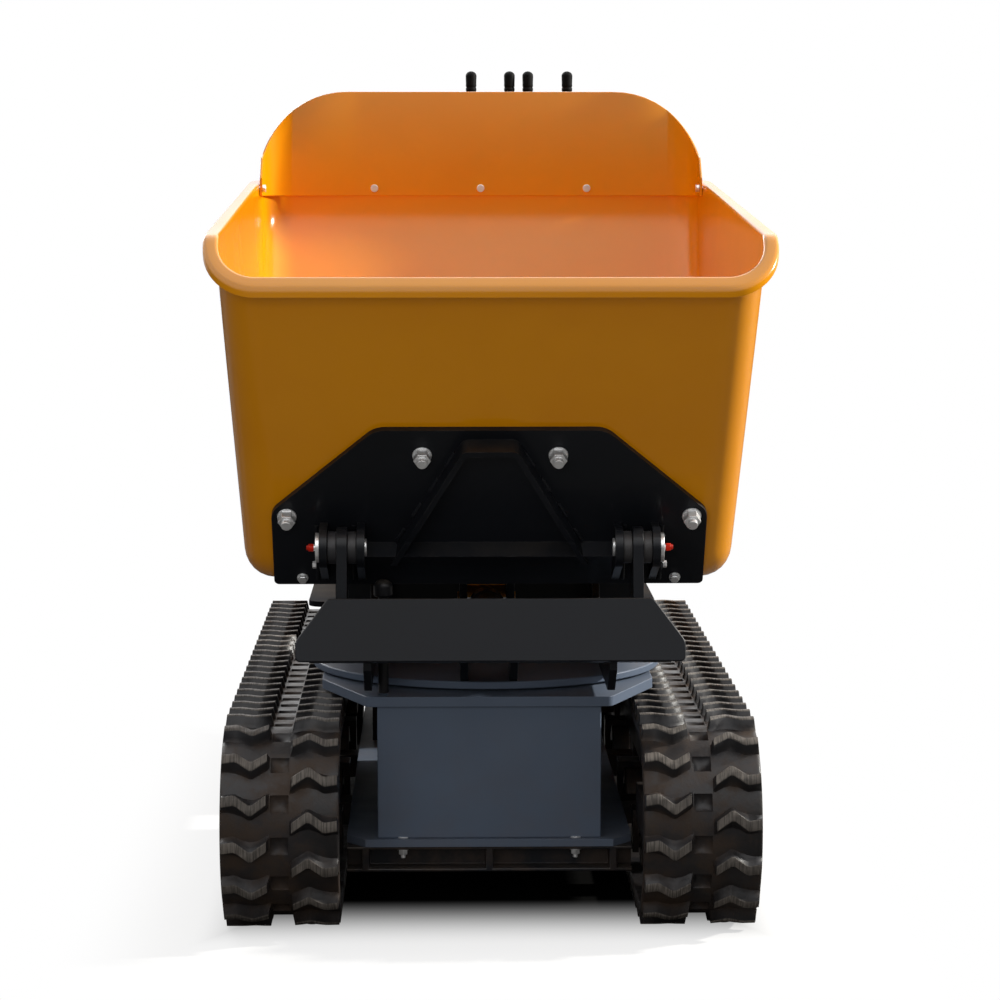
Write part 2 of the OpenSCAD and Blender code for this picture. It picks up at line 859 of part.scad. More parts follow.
module swing_frame() {
    foot = 60;
    lug_front = slew_y - disc_r + 8;
    lug_base = 120;
    cross_half = upright_x + foot / 2;
    color(frame_black)
    difference() {
        union() {
            // Two rails on the disc, with a post at the rear for the skip to rest on
            on_both_sides()
            side_plate(rail_x, rail_t)
            polygon([[rail_front, disc_top + rail_h / 2], [rail_front + foot, disc_top], [rail_rear, disc_top],
                     [rail_rear, under_z - seat], [post_y, under_z - seat],
                     [post_y - rail_h / 2, disc_top + rail_h], [rail_front, disc_top + rail_h]]);
            // Cross plates
            box(-cross_half, cross_half, rail_front, rail_front + foot_t, frame_low, disc_top + rail_h * 1.5);
            box(-cross_half, cross_half, rail_rear - foot_t, rail_rear, disc_top, under_z - foot / 2);
            // Uprights with the hinge bosses, on foot plates beside the rails
            on_both_sides()
            side_plate(upright_x - upright_t / 2, upright_t) {
                polygon([[rail_front, frame_low], [rail_front + 2 * foot, frame_low],
                         [hinge_y + hinge_boss_r, hinge_z], [hinge_y - hinge_boss_r, hinge_z]]);
                translate([hinge_y, hinge_z]) circle(r = hinge_boss_r);
            }
            on_both_sides()
            box(rail_x, upright_x + upright_t / 2, rail_front, rail_front + 2 * foot,
                frame_low, frame_low + foot_t);
            // Lugs for the tip cylinder stand on the disc and are tied to the front cross plate
            on_both_sides() {
                side_plate(lug_gap, cyl_lug_t) {
                    polygon([[lug_front, disc_top], [lug_front + lug_base, disc_top],
                             [base_pivot[0] + eye_r, base_pivot[1]], [base_pivot[0] - eye_r, base_pivot[1]]]);
                    translate(base_pivot) circle(r = eye_r);
                }
                box(lug_gap, lug_gap + cyl_lug_t, rail_front, base_pivot[0], frame_low, frame_low + foot_t);
            }
            // Bracket for the lock pin
            box(-rail_x - weld, lock_x + lock_arm, lock_y - lock_arm, lock_y + lock_arm,
                frame_low, frame_low + foot_t);
        }
        bar_x(-skip_w, skip_w, hinge_y, hinge_z, hinge_pin_r + fit);
        bar_x(-lug_gap - cyl_lug_t - 1, lug_gap + cyl_lug_t + 1,
              base_pivot[0], base_pivot[1], cross_pin_r + fit);
        translate([lock_x, lock_y, disc_top])
        cylinder(r = lock_r + fit, h = hinge_h);
    }
}

module front_guard() {
    gusset_x = 140;
    gusset_t = 10;
    lip = 20;
    bend_share = 0.68;
    half = guard_w / 2;
    back = function (z) rail_front - (guard_top - z) * tan(guard_lean);
    color(frame_black) {
        translate([0, rail_front, guard_top])
        rotate([90 - guard_lean, 0, 0]) {
            linear_extrude(guard_t)
            polygon(rounded(mirrored([[guard_top_w / 2, 0], [half, -guard_h * bend_share], [half, -guard_h]]),
                            [10, 24, 8, 8, 24, 10]));
            // Return lip along the foot
            translate([-half + lip, -guard_h, weld - lip])
            cube([guard_w - 2 * lip, guard_t, lip]);
        }
        // Gussets to the frame's front cross plate
        on_both_sides()
        side_plate(gusset_x, gusset_t)
        polygon([for (z = [frame_low + foot_t, disc_top + rail_h * 1.5]) [rail_front, z],
                 for (z = [disc_top + rail_h * 1.5, frame_low + foot_t]) [back(z) - weld, z]]);
    }
}

module slew_lock_pin() {
    color([0.06, 0.06, 0.065])
    translate([lock_x, lock_y, 0]) {
        translate([0, 0, lock_low])
        cylinder(r = lock_r, h = knob_z - lock_low + 4);
        translate([0, 0, knob_z])
        rotate_extrude()
        polygon(concat([[0, 0], [knob_r - 3, 0], [knob_r, 3]],
            [for (a = [0 : 15 : 90]) [knob_r * cos(a), 16 + 12 * sin(a)]]));
    }
}

// Tip cylinder, drawn along +X of its own line and turned onto the side view

module along_cylinder()
    translate([0, base_pivot[0], base_pivot[1]])
    rotate([cyl_angle, 0, 0])
    children();

module tip_cylinder_barrel() {
    color(frame_black)
    along_cylinder()
    difference() {
        union() {
            bar_x(-eye_w / 2, eye_w / 2, 0, 0, eye_r);
            bar_x(-cross_pin_l / 2, cross_pin_l / 2, 0, 0, cross_pin_r);
            bar_y(tube_start, tube_end, 0, 0, barrel_r);
            bar_y(tube_end - gland_l, tube_end, 0, 0, barrel_r + gland_step);
        }
        bar_y(tube_start + 16, tube_end - gland_l, 0, 0, barrel_bore_r);
        bar_y(tube_end - gland_l - 1, tube_end + 1, 0, 0, rod_r + fit);
    }
}

module tip_cylinder_rod() {
    piston_at = tube_start + 17;
    color(bare_steel)
    along_cylinder() {
        bar_x(-eye_w / 2, eye_w / 2, cyl_closed, 0, eye_r);
        bar_x(-cross_pin_l / 2, cross_pin_l / 2, cyl_closed, 0, cross_pin_r);
        bar_y(piston_at, cyl_closed - eye_r + 6, 0, 0, rod_r);
        bar_y(piston_at, piston_at + piston_l, 0, 0, barrel_bore_r - fit);
    }
}

// Skip

function rim_z(y) =
    y < kink_y
        ? floor_z + skip_front_h + (y - front_rim_y) * tan(rim_front_slope)
        : kink_z + (y - kink_y) * tan(rim_rear_slope);

// The skip's plan at a share t of its height, moved out by off
function skip_ring(t, off) =
    let (
        front = floor_front - t * front_run - off,
        rear = floor_rear + rear_run * min(1, t / slope_share) + off,
        half = lerp(floor_w / 2, rim_half, t) + off,
        r = skip_corner_r + off,
        kink = floor_front - t * front_run + rim_front_run,
        arc = function (cx, cy, a0) [for (i = [0 : corner_steps])
            [cx + r * cos(a0 + 90 * i / corner_steps), cy + r * sin(a0 + 90 * i / corner_steps)]]
    )
    concat(arc(-half + r, front + r, 180), arc(half - r, front + r, 270), [[half, kink]],
           arc(half - r, rear - r, 0), arc(-half + r, rear - r, 90), [[-half, kink]]);

// One ring of the shell: [share of the height, offset, drop]
function shell_ring(step) =
    let (plan = skip_ring(step[0], step[1]), rim = skip_ring(1, step[1]))
    [for (j = [0 : len(plan) - 1])
        [plan[j][0], plan[j][1], floor_z + step[0] * (rim_z(rim[j][1]) - floor_z) - step[2]]];

// The shell's section from the inner floor over the rim to the outer floor
function shell_section() =
    let (
        fillet = floor_fillet / skip_front_h,
        lip = 1 - rim_lip / skip_front_h,
        under = 1 - sheet_t / skip_front_h,
        out = sheet_t + rim_flange
    )
    concat(
        [for (a = [0 : 18 : 90]) [fillet * (1 - cos(a)), -floor_fillet * (1 - sin(a)), 0]],
        [[slope_share, 0, 0], [1, 0, 0], [1, out, 0], [lip, out, 0], [lip, rim_flange, 0],
         [under, rim_flange, 0], [under, sheet_t, 0], [slope_share, sheet_t, 0]],
        [for (a = [90 : -18 : 0])
            [fillet * (1 - cos(a)), sheet_t - floor_fillet * (1 - sin(a)), sheet_t * cos(a)]]);

module skip_body() {
    section = shell_section();
    rings = [for (step = section) shell_ring(step)];
    n = len(rings[0]);
    m = len(rings);
    last = (m - 1) * n;
    // Both floors are fans round a middle point
    middle = (floor_front + floor_rear) / 2;
    polyhedron(
        points = concat([for (ring = rings) each ring], [[0, middle, floor_z], [0, middle, under_z]]),
        faces = concat(
            [for (j = [0 : n - 1]) [m * n, (j + 1) % n, j]],
            [for (k = [0 : m - 2], j = [0 : n - 1])
                let (j2 = (j + 1) % n)
                each [[k * n + j, k * n + j2, (k + 1) * n + j2],
                      [k * n + j, (k + 1) * n + j2, (k + 1) * n + j]]],
            [for (j = [0 : n - 1]) [m * n + 1, last + j, last + (j + 1) % n]]));
}

// Things drawn on the front wall: x across, y up the wall, z out of it
module on_front_wall()
    translate([0, wall_low[0], wall_low[1]])
    rotate([90 + wall_lean, 0, 0])
    children();

// Thickness of the front wall at a height up it; its two faces lean a little differently
function front_wall_t(up) =
    (sheet_t + up * cos(wall_lean) * (tan(wall_lean) - tan(front_lean))) * cos(wall_lean);

module at_studs() {
    for (stud = studs, sx = [-1, 1])
        translate([sx * stud[0], stud[1], 0])
        children();
}

// A slot with round ends, from the origin along +X
function slot_points(length, r) =
    [for (a = [-90 : 10 : 90]) [length, 0] + r * [cos(a), sin(a)],
     for (a = [90 : 10 : 270]) r * [cos(a), sin(a)]];

// Lugs for the rod's cross pin, with the slack of the opened pivot
module rod_lug_outline() {
    difference() {
        polygon([[rod_pivot[0] - 60, under_z + 1], [rod_pivot[0] + 46, under_z + 1],
                 [rod_pivot[0] + 30, rod_pivot[1] - 14],
                 [rod_pivot[0] + tip_slack[0] + 14, rod_pivot[1] + tip_slack[1] - 30],
                 [rod_pivot[0] + tip_slack[0] - 18, rod_pivot[1] + tip_slack[1] - 30],
                 [rod_pivot[0] - 44, rod_pivot[1] - 8]]);
        translate(rod_pivot)
        rotate(atan2(tip_slack[1], tip_slack[0]))
        polygon(slot_points(norm(tip_slack), cross_pin_r + slot_play));
    }
}

module skip_shell() {
    color(paint_yellow)
    difference() {
        union() {
            skip_body();
            on_both_sides()
            side_plate(lug_gap, cyl_lug_t)
            rod_lug_outline();
        }
        on_front_wall()
        at_studs()
        translate([0, 0, -20])
        cylinder(r = stud_r, h = 40);
        for (x = [-hood_bolt_x, 0, hood_bolt_x])
            bar_y(rear_wall_y - 20, rear_wall_y + 20, x, hood_bolt_z, hood_bolt_r);
        for (i = [0, 1])
            bar_x(-rim_half - 20, rim_half + 20, wing_bolt_y - i * wing_bolt_step, hood_bolt_z, hood_bolt_r);
    }
}

// The hood's plan: its rear face, the two corners and the wings
function hood_plan(inset) =
    let (
        half = hood_half - inset,
        rear = hood_rear - inset,
        r = skip_corner_r - hood_gap - inset,
        front = hood_rear - skip_corner_r - hood_wing
    )
    mirrored(concat([[half, front]],
        [for (a = [0 : 15 : 90]) [half - r + r * cos(a), rear - r + r * sin(a)]]));

module rear_hood() {
    front = hood_rear - skip_corner_r - hood_wing;
    wing_cut = 70;
    color(paint_yellow)
    difference() {
        intersection() {
            translate([0, 0, hood_low])
            linear_extrude(hood_h)
            difference() {
                polygon(hood_plan(0));
                polygon(concat(hood_plan(hood_t),
                               [[-hood_half + hood_t, front - 1], [hood_half - hood_t, front - 1]]));
            }
            // Front view: a panel with large round top corners
            translate([0, hood_rear + 10, 0])
            rotate([90, 0, 0])
            linear_extrude(300)
            polygon(mirrored(concat([[hood_half + 5, hood_low]],
                [for (a = [0 : 10 : 90])
                    [hood_half + 5, hood_high] - hood_corner_r * [1 - cos(a), 1 - sin(a)]])));
            // Side view: the wings fall away to the front
            side_plate(-skip_w, 2 * skip_w)
            polygon([[front, hood_low], [hood_rear + 5, hood_low], [hood_rear + 5, hood_high],
                     [front + wing_cut, hood_high], [front + wing_cut, hood_low + 115],
                     [front, hood_low + 44]]);
        }
        for (x = [-hood_bolt_x, 0, hood_bolt_x])
            bar_y(hood_rear - 20, hood_rear + 5, x, hood_bolt_z, hood_bolt_r);
        for (i = [0, 1])
            bar_x(-skip_w, skip_w, wing_bolt_y - i * wing_bolt_step, hood_bolt_z, hood_bolt_r);
    }
}

// Welded hinge plate: plate, ears, angle cross member and the A-shaped stiffener
module hinge_plate() {
    bar_h = 34;
    bar_t = 10;
    foot = [154, 58];
    peak = [42, 281];
    peak_r = 16;
    angle_high = 80;
    angle_low = 8;
    angle_mid = 54;
    angle_reach = 38;
    angle_t = 6;
    ear_low = 0;
    ear_high = 118;
    up = [-sin(wall_lean), cos(wall_lean)];
    out = [-cos(wall_lean), -sin(wall_lean)];
    on_plate = function (v) wall_low + up * v + out * (hinge_plate_t - weld);
    apex = on_plate(angle_mid) - [angle_reach, 0];
    color(frame_black)
    difference() {
        union() {
            on_front_wall() {
                translate([0, 0, plate_gap])
                linear_extrude(hinge_plate_t - plate_gap)
                polygon(rounded(mirrored([[plate_half, plate_low], [plate_half, plate_side],
                                          [plate_top_half, plate_high]]), [8, 30, 40, 40, 30, 8]));
                // Stiffener bars stand on edge
                translate([0, 0, hinge_plate_t - weld])
                linear_extrude(bar_h)
                polygon(rounded(concat(
                    mirrored([foot, peak]),
                    [[bar_t - foot[0], foot[1]], [bar_t / 2 - peak[0], peak[1] - bar_t],
                     [peak[0] - bar_t / 2, peak[1] - bar_t], [foot[0] - bar_t, foot[1]]]),
                    [0, peak_r, peak_r, 0, 0, peak_r / 2, peak_r / 2, 0]));
            }
            // Angle cross member, its corner to the front
            side_plate(-ear_in_x - 1, 2 * ear_in_x + 2)
            polygon([on_plate(angle_high), apex, on_plate(angle_low), on_plate(angle_low + angle_t),
                     apex + [angle_t * 1.4, 0], on_plate(angle_high - angle_t)]);
            // Four ears
            on_both_sides()
            for (x = [ear_in_x, ear_out_x])
                side_plate(x, ear_t) {
                    polygon([on_plate(ear_low), on_plate(ear_high),
                             [hinge_y - hinge_boss_r * 0.5, hinge_z + hinge_boss_r * 0.87],
                             [hinge_y, hinge_z - hinge_boss_r]]);
                    translate([hinge_y, hinge_z]) circle(r = hinge_boss_r);
                }
        }
        bar_x(-skip_w, skip_w, hinge_y, hinge_z, hinge_pin_r);
        on_front_wall()
        at_studs()
        translate([0, 0, -1])
        cylinder(r = stud_r, h = hinge_plate_t + 2);
    }
}

pin_in_x = ear_in_x - 3;
pin_out_x = ear_out_x + ear_t;

module hinge_pins() {
    color(zinc)
    on_both_sides() {
        bar_x(pin_in_x, pin_out_x + 1, hinge_y, hinge_z, hinge_pin_r);
        bar_x(pin_out_x, pin_out_x + pin_head_t, hinge_y, hinge_z, hinge_pin_r + 9);
        bar_x(pin_out_x + pin_head_t - 1, pin_out_x + pin_head_t + 3, hinge_y, hinge_z, 5);
    }
}

module hinge_bushes() {
    color([0.3, 0.3, 0.31])
    on_both_sides()
    for (x = [upright_x - upright_t / 2 - bush_l + seat, upright_x + upright_t / 2])
        difference() {
            bar_x(x, x + bush_l - seat, hinge_y, hinge_z, hinge_boss_r - 7);
            bar_x(x - 1, x + bush_l + 1, hinge_y, hinge_z, hinge_pin_r + fit);
        }
}

module grease_caps() {
    color([0.85, 0.12, 0.05])
    on_both_sides()
    translate([pin_out_x + pin_head_t + 3, hinge_y, hinge_z])
    rotate([0, 90, 0]) {
        cylinder(r = 6, h = cap_l - 3);
        cylinder(r = 4, h = cap_l);
    }
}

module skip_bolts() {
    washer_t = 3;
    nut_t = 14;
    stud_l = 26;
    head_t = 8;
    color(zinc)
    on_front_wall()
    at_studs() {
        translate([0, 0, -sheet_t - loose])
        cylinder(r = stud_r, h = sheet_t + loose + hinge_plate_t + stud_l);
        translate([0, 0, hinge_plate_t])
        cylinder(r = washer_r, h = washer_t);
        translate([0, 0, hinge_plate_t + washer_t])
        cylinder(r = nut_r, h = nut_t, $fn = 6);
    }
    color(zinc)
    on_front_wall()
    for (stud = studs, sx = [-1, 1])
        translate([sx * stud[0], stud[1], -front_wall_t(stud[1]) - fit - head_t])
        cylinder(r = stud_r + 3, h = head_t);
}

module hood_bolts() {
    head_r = 7;
    head_t = 5;
    color(zinc) {
        for (x = [-hood_bolt_x, 0, hood_bolt_x]) {
            bar_y(hood_rear - hood_t - 1, rear_wall_y + sheet_t + 9, x, hood_bolt_z, hood_bolt_r);
            bar_y(hood_rear - hood_t - head_t, hood_rear - hood_t, x, hood_bolt_z, head_r);
            bar_y(rear_wall_y + sheet_t, rear_wall_y + sheet_t + 7, x, hood_bolt_z, head_r);
        }
        on_both_sides()
        for (i = [0, 1]) {
            y = wing_bolt_y - i * wing_bolt_step;
            bar_x(hood_half - hood_t - 1, rim_half + sheet_t + 8, y, hood_bolt_z, hood_bolt_r);
            bar_x(hood_half - hood_t - head_t, hood_half - hood_t, y, hood_bolt_z, head_r);
        }
    }
}

// Rear body

module rear_deck() {
    lug_t = 10;
    color(frame_black)
    difference() {
        union() {
            translate([0, 0, deck_low])
            linear_extrude(deck_t)
            polygon(rounded([[-deck_w / 2, deck_front], [deck_w / 2, deck_front], [deck_w / 2, deck_rear],
                             [-deck_w / 2, deck_rear]], [30, 30, 20, 20]));
            // Webs down to the base plate
            on_both_sides()
            side_plate(web_x, web_t)
            polygon([[deck_front + 10, deck_low + weld], [deck_front + 60, pedestal_z], [base_rear, pedestal_z],
                     [deck_rear, platform_z - 40], [deck_rear, deck_low + weld]]);
            box(-platform_w / 2, platform_w / 2, deck_rear - 10, deck_rear, platform_z - 50, deck_low + weld);
            // Platform hinge lugs
            on_both_sides()
            side_plate(platform_w / 2 - 70, lug_t) {
                polygon([[deck_rear - 1, platform_z + 16], [deck_rear - 1, platform_z - 16],
                         [platform_axis[0], platform_z - 12], [platform_axis[0], platform_z + 12]]);
                translate(platform_axis) circle(r = 12);
            }
        }
        bar_x(-platform_w, platform_w, platform_axis[0], platform_axis[1], platform_pin_r + fit);
    }
}

module at_engine() translate([engine_x, engine_y, deck_z]) children();

module engine_block() {
    color([0.55, 0.56, 0.57])
    at_engine() {
        box(-engine_foot[0], engine_foot[0], -engine_foot[1], engine_foot[1], 0, engine_foot[2]);
        box(-engine_case_half, engine_case_half, -engine_case_l, engine_case_l,
            engine_foot[2] - weld, engine_case_h);
        box(-engine_head[0], engine_head[0], -engine_head[1], engine_head[1], engine_case_h - weld, engine_h);
        for (i = [1 : fins])
            translate([0, 0, engine_case_h + i * fin_step])
            box(-fin_w, fin_w, -fin_half, fin_half, 0, fin_t);
        // Recoil starter housing and the drive shaft
        bar_x(engine_case_half - weld, engine_case_half + starter_l, 0, starter_z, starter_r);
        bar_x(-engine_case_half - drive_l, -engine_case_half + weld, 0, drive_z, drive_r);
    }
}

module muffler() {
    can_y = fin_half + can_gap;
    color([0.25, 0.24, 0.23])
    at_engine() {
        box(-can_half, can_half, can_y, can_y + can_l, can_z[0], can_z[1]);
        bar_y(fin_half, can_y + weld, 0, port_z, port_r);
        bar_x(can_half - weld, cowl_w / 2 - engine_x + can_gap, outlet[0], outlet[1], outlet_r);
    }
}

module fuel_tank() {
    corners = [fuel_corner, fuel_corner, fuel_corner, fuel_corner];
    color([0.1, 0.1, 0.1])
    at_engine()
    translate([0, 0, engine_h + fuel_leg[2]]) {
        linear_extrude(fuel_h)
        polygon(rounded([[-fuel_half, -fuel_front], [fuel_half, -fuel_front],
                         [fuel_half, fuel_rear], [-fuel_half, fuel_rear]], corners));
        translate([fuel_cap[0], fuel_cap[1], fuel_h - weld])
        cylinder(r = fuel_cap_r, h = fuel_cap[2]);
        // Legs on the cylinder head
        for (sx = [-1, 1], sy = [-1, 1])
            translate([sx * fuel_leg[0], sy * fuel_leg[1], -fuel_leg[2]])
            cylinder(r = fuel_leg_r, h = fuel_leg[2] + weld);
    }
}

module hydraulic_pump() {
    color([0.4, 0.41, 0.42])
    at_engine()
    translate([-engine_case_half, 0, 0])
    difference() {
        union() {
            bar_x(-pump_flange_l, 0, 0, drive_z, pump_flange_r);
            box(-pump_flange_l - pump_l, -pump_flange_l + weld, -pump_half, pump_half, pump_z[0], pump_z[1]);
            box(-pump_flange_l - pump_foot[1], -pump_flange_l - pump_foot[0], -pump_foot[2], pump_foot[2],
                0, pump_z[0] + weld);
        }
        bar_x(-drive_l - loose, 1, 0, drive_z, drive_r + fit);
    }
}

module hydraulic_tank() {
    corners = [oil_corner, oil_corner, oil_corner, oil_corner];
    color(frame_black)
    translate([0, cowl_y + 2 * cowl_t, deck_z]) {
        linear_extrude(oil_h)
        polygon(rounded([[-oil_half, 0], [oil_half, 0], [oil_half, oil_l], [-oil_half, oil_l]], corners));
        translate([oil_cap_x, oil_l / 2, oil_h - 1])
        cylinder(r = oil_cap_r, h = oil_cap_h);
    }
}

// Drawn at both hinges of the engine hood
module at_hinges() for (sx = [-1, 1]) translate([sx * knuckle_x, 0, 0]) children();

module cowl_shell() {
    half = cowl_w / 2;
    r = cowl_corner;
    inner_r = r - cowl_t;
    color(paint_yellow)
    difference() {
        union() {
            translate([0, cowl_y, deck_z])
            linear_extrude(cowl_h)
            difference() {
                polygon(rounded([[-half, 0], [half, 0], [half, cowl_l], [-half, cowl_l]], [r, r, r, r]));
                polygon(rounded([[-half + cowl_t, cowl_t], [half - cowl_t, cowl_t],
                                 [half - cowl_t, cowl_l - cowl_t], [-half + cowl_t, cowl_l - cowl_t]],
                                [inner_r, inner_r, inner_r, inner_r]));
            }
            // Hinge knuckles of the engine hood
            at_hinges() {
                bar_x(-knuckle_step[1], -knuckle_step[0], lid_axis[0], lid_axis[1], knuckle_r);
                box(-knuckle_step[1], -knuckle_step[0], lid_axis[0] - 2, cowl_y + 1,
                    cowl_top - knuckle_web, lid_axis[1] - 3);
            }
        }
        for (i = [0 : louvres - 1])
            box(-half - cowl_corner, half + cowl_corner, louvre_front, louvre_rear,
                louvre_z + i * louvre_step, louvre_z + i * louvre_step + louvre_h);
        bar_x(half - cowl_corner, half + cowl_corner, engine_y + outlet[0], deck_z + outlet[1],
              outlet_r + can_gap);
        at_hinges()
        bar_x(-knuckle_step[1] - 10, 0, lid_axis[0], lid_axis[1], lid_pin_r + fit);
    }
}

module engine_hood() {
    half = cowl_w / 2;
    r = cowl_corner;
    gap = 2;
    color(paint_yellow) {
        difference() {
            translate([0, cowl_y, cowl_top + seat])
            linear_extrude(lid_h)
            polygon(rounded([[-half, 0], [half, 0], [half, lid_l], [-half, lid_l]],
                            [r, r, lid_corner, lid_corner]));
            translate([0, cowl_y, cowl_top - 1])
            linear_extrude(lid_h + 1 - cowl_t)
            polygon(rounded([[-half + cowl_t, cowl_t], [half - cowl_t, cowl_t], [half - cowl_t, lid_l - cowl_t],
                             [-half + cowl_t, lid_l - cowl_t]],
                            [r - cowl_t, r - cowl_t, lid_corner - cowl_t / 2, lid_corner - cowl_t / 2]));
            at_hinges()
            box(-knuckle_step[1] - gap, gap - knuckle_step[0], cowl_y - cowl_t - gap, cowl_y + cowl_t + gap,
                cowl_top, lid_axis[1] + 2 * knuckle_r);
        }
        at_hinges() {
            bar_x(gap - knuckle_step[0], knuckle_end, lid_axis[0], lid_axis[1], knuckle_r);
            bar_x(-knuckle_step[1] - gap, 0, lid_axis[0], lid_axis[1], lid_pin_r);
            box(gap - knuckle_step[0], knuckle_end, lid_axis[0], cowl_y + 1, lid_axis[1] - 3, lid_axis[1] + 5);
        }
    }
}

module control_console() {
    half = console_w / 2;
    wall = console_wall;
    y0 = cowl_end - console_l;
    top = cowl_top + console_h;
    color(frame_black)
    difference() {
        union() {
            difference() {
                side_plate(-half, console_w)
                polygon([[y0, cowl_top], [cowl_end, cowl_top], [cowl_end, top - console_nose[1]],
                         [cowl_end - console_nose[0], top], [y0, top]]);
                side_plate(-half + wall, console_w - 2 * wall)
                polygon([[y0 + wall, cowl_top + wall], [cowl_end - wall, cowl_top + wall],
                         [cowl_end - wall, top - console_nose[1] - wall],
                         [cowl_end - console_nose[0] - wall, top - wall], [y0 + wall, top - wall]]);
            }
            // Shaft of the levers
            bar_x(-half + 1, half - 1, lever_y, lever_z, shaft_r);
            // Boss of the throttle lever
            bar_x(half - 1, half + throttle_boss, throttle_y, throttle_z, throttle_r);
            bar_x(half, half + throttle_stub_l, throttle_y, throttle_z, throttle_stub_r);
        }
        for (x = lever_x)
            box(x - lever_r - 5, x + lever_r + 5, lever_y - lever_swing, lever_y + lever_swing,
                top - wall - 1, top + 1);
    }
}

module on_lever(i)
    translate([lever_x[i], lever_y, lever_z])
    children();

module lever(i) {
    color(zinc)
    difference() {
        union() {
            on_lever(i)
            cylinder(r = lever_r, h = grip_low + grip_bite);
            bar_x(lever_x[i] - hub_l / 2, lever_x[i] + hub_l / 2, lever_y, lever_z, hub_r);
        }
        bar_x(lever_x[i] - hub_l, lever_x[i] + hub_l, lever_y, lever_z, shaft_r + fit);
    }
}

module lever_grip(i) {
    color([0.05, 0.05, 0.05])
    on_lever(i)
    translate([0, 0, grip_low])
    difference() {
        rotate_extrude()
        polygon(concat([[0, 0], [grip_r - 2, 0], [grip_r - 1, 4]],
            [for (a = [0 : 15 : 90]) [grip_r * cos(a), grip_l - grip_r * 0.8 + grip_r * 0.8 * sin(a)]]));
        translate([0, 0, -1])
        cylinder(r = lever_r, h = grip_bite + 1);
    }
}

module slew_lever() lever(0);
module travel_lever_left() lever(1);
module travel_lever_right() lever(2);
module tip_lever() lever(3);
module slew_lever_grip() lever_grip(0);
module travel_grip_left() lever_grip(1);
module travel_grip_right() lever_grip(2);
module tip_lever_grip() lever_grip(3);

module throttle_lever() {
    color([0.7, 0.1, 0.06])
    translate([console_w / 2 + throttle_boss + seat, throttle_y, throttle_z])
    difference() {
        union() {
            bar_x(0, throttle_r, 0, 0, throttle_r);
            translate([2, -throttle_arm[1] / 2, 0])
            cube(throttle_arm);
            translate([2 + throttle_arm[0] / 2, 0, throttle_arm[2] + 4])
            sphere(r = throttle_ball_r);
        }
        bar_x(-1, throttle_stub_l, 0, 0, throttle_stub_r + fit);
    }
}

module grab_rail() {
    foot_z = cowl_top - rail_foot;
    color(frame_black)
    on_both_sides() {
        translate([rail_half, rail_y, foot_z])
        cylinder(r = rail_r, h = rail_top_z - rail_bend - foot_z);
        translate([rail_half - rail_bend, rail_y, rail_top_z - rail_bend])
        rotate([90, 0, 0])
        rotate_extrude(angle = 90)
        translate([rail_bend, 0])
        circle(r = rail_r);
        bar_x(-0.01, rail_half - rail_bend, rail_y, rail_top_z, rail_r);
        // Feet on the cowl
        for (z = [foot_z + 10, cowl_top - 30])
            bar_y(cowl_end, rail_y, rail_half, z, rail_foot_r);
    }
}

module operator_platform() {
    half = platform_w / 2;
    front = platform_axis[0] + 14;
    low = platform_z - platform_rib[1];
    color(frame_black) {
        difference() {
            box(-half, half, front, platform_end, platform_z - platform_t / 2, platform_z + platform_t / 2);
            for (x = [-4 : 4], i = [0 : 3])
                translate([x * tread_step[0], front + tread_edge + i * tread_step[1], platform_z - platform_t])
                cylinder(r = tread_hole_r, h = 2 * platform_t);
        }
        on_both_sides()
        box(half - platform_rib[0], half, front, platform_end, low, platform_z + 3);
        // Hinge tubes with their pins, and heels that stop against the rear plate
        on_both_sides() {
            bar_x(half - 58, half - 10, platform_axis[0], platform_z, platform_pin_r + 4);
            bar_x(half - 72, half - 56, platform_axis[0], platform_z, platform_pin_r);
            box(half - 58, half - 10, platform_axis[0], front + 1, platform_z - 5, platform_z + 5);
            translate([half - 2 * heel[0], 0, low - heel[2] - 4]) {
                box(0, heel[0], deck_rear + seat, front + heel[1], 0, heel[2]);
                box(0, heel[0], front, front + heel[1], 0, platform_rib[1] + heel[2]);
            }
        }
    }
}

placed() chassis_base_plate();
placed() cross_beams();
placed() pedestal_box();
placed() slew_base_plate();
placed() track_frame_left();
placed() track_frame_right();
placed() rubber_track_left();
placed() rubber_track_right();
placed() travel_motor_left();
placed() travel_motor_right();
placed() drive_sprocket_left();
placed() drive_sprocket_right();
placed() idler_yoke_left();
placed() idler_yoke_right();
placed() idler_wheel_left();
placed() idler_wheel_right();
placed() track_roller_left_1();
placed() track_roller_left_2();
placed() track_roller_left_3();
placed() track_roller_right_1();
placed() track_roller_right_2();
placed() track_roller_right_3();
placed() slew_wear_ring();
placed() slew_gear();
placed() slew_motor();
placed() slew_pinion();
placed() turntable_disc();
placed() swing_frame();
placed() front_guard();
placed() slew_lock_pin();
placed() tip_cylinder_barrel();
placed() tip_cylinder_rod();
placed() skip_shell();
placed() rear_hood();
placed() hinge_plate();
placed() hinge_pins();
placed() hinge_bushes();
placed() grease_caps();
placed() skip_bolts();
placed() hood_bolts();
placed() rear_deck();
placed() engine_block();
placed() muffler();
placed() fuel_tank();
placed() hydraulic_pump();
placed() hydraulic_tank();
placed() cowl_shell();
placed() engine_hood();
placed() control_console();
placed() slew_lever();
placed() travel_lever_left();
placed() travel_lever_right();
placed() tip_lever();
placed() slew_lever_grip();
placed() travel_grip_left();
placed() travel_grip_right();
placed() tip_lever_grip();
placed() throttle_lever();
placed() grab_rail();
placed() operator_platform();
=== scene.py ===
import json
from math import atan2, cos, hypot, pi, radians, sin, sqrt, tan

import bmesh
import bpy
from mathutils import Matrix, Vector

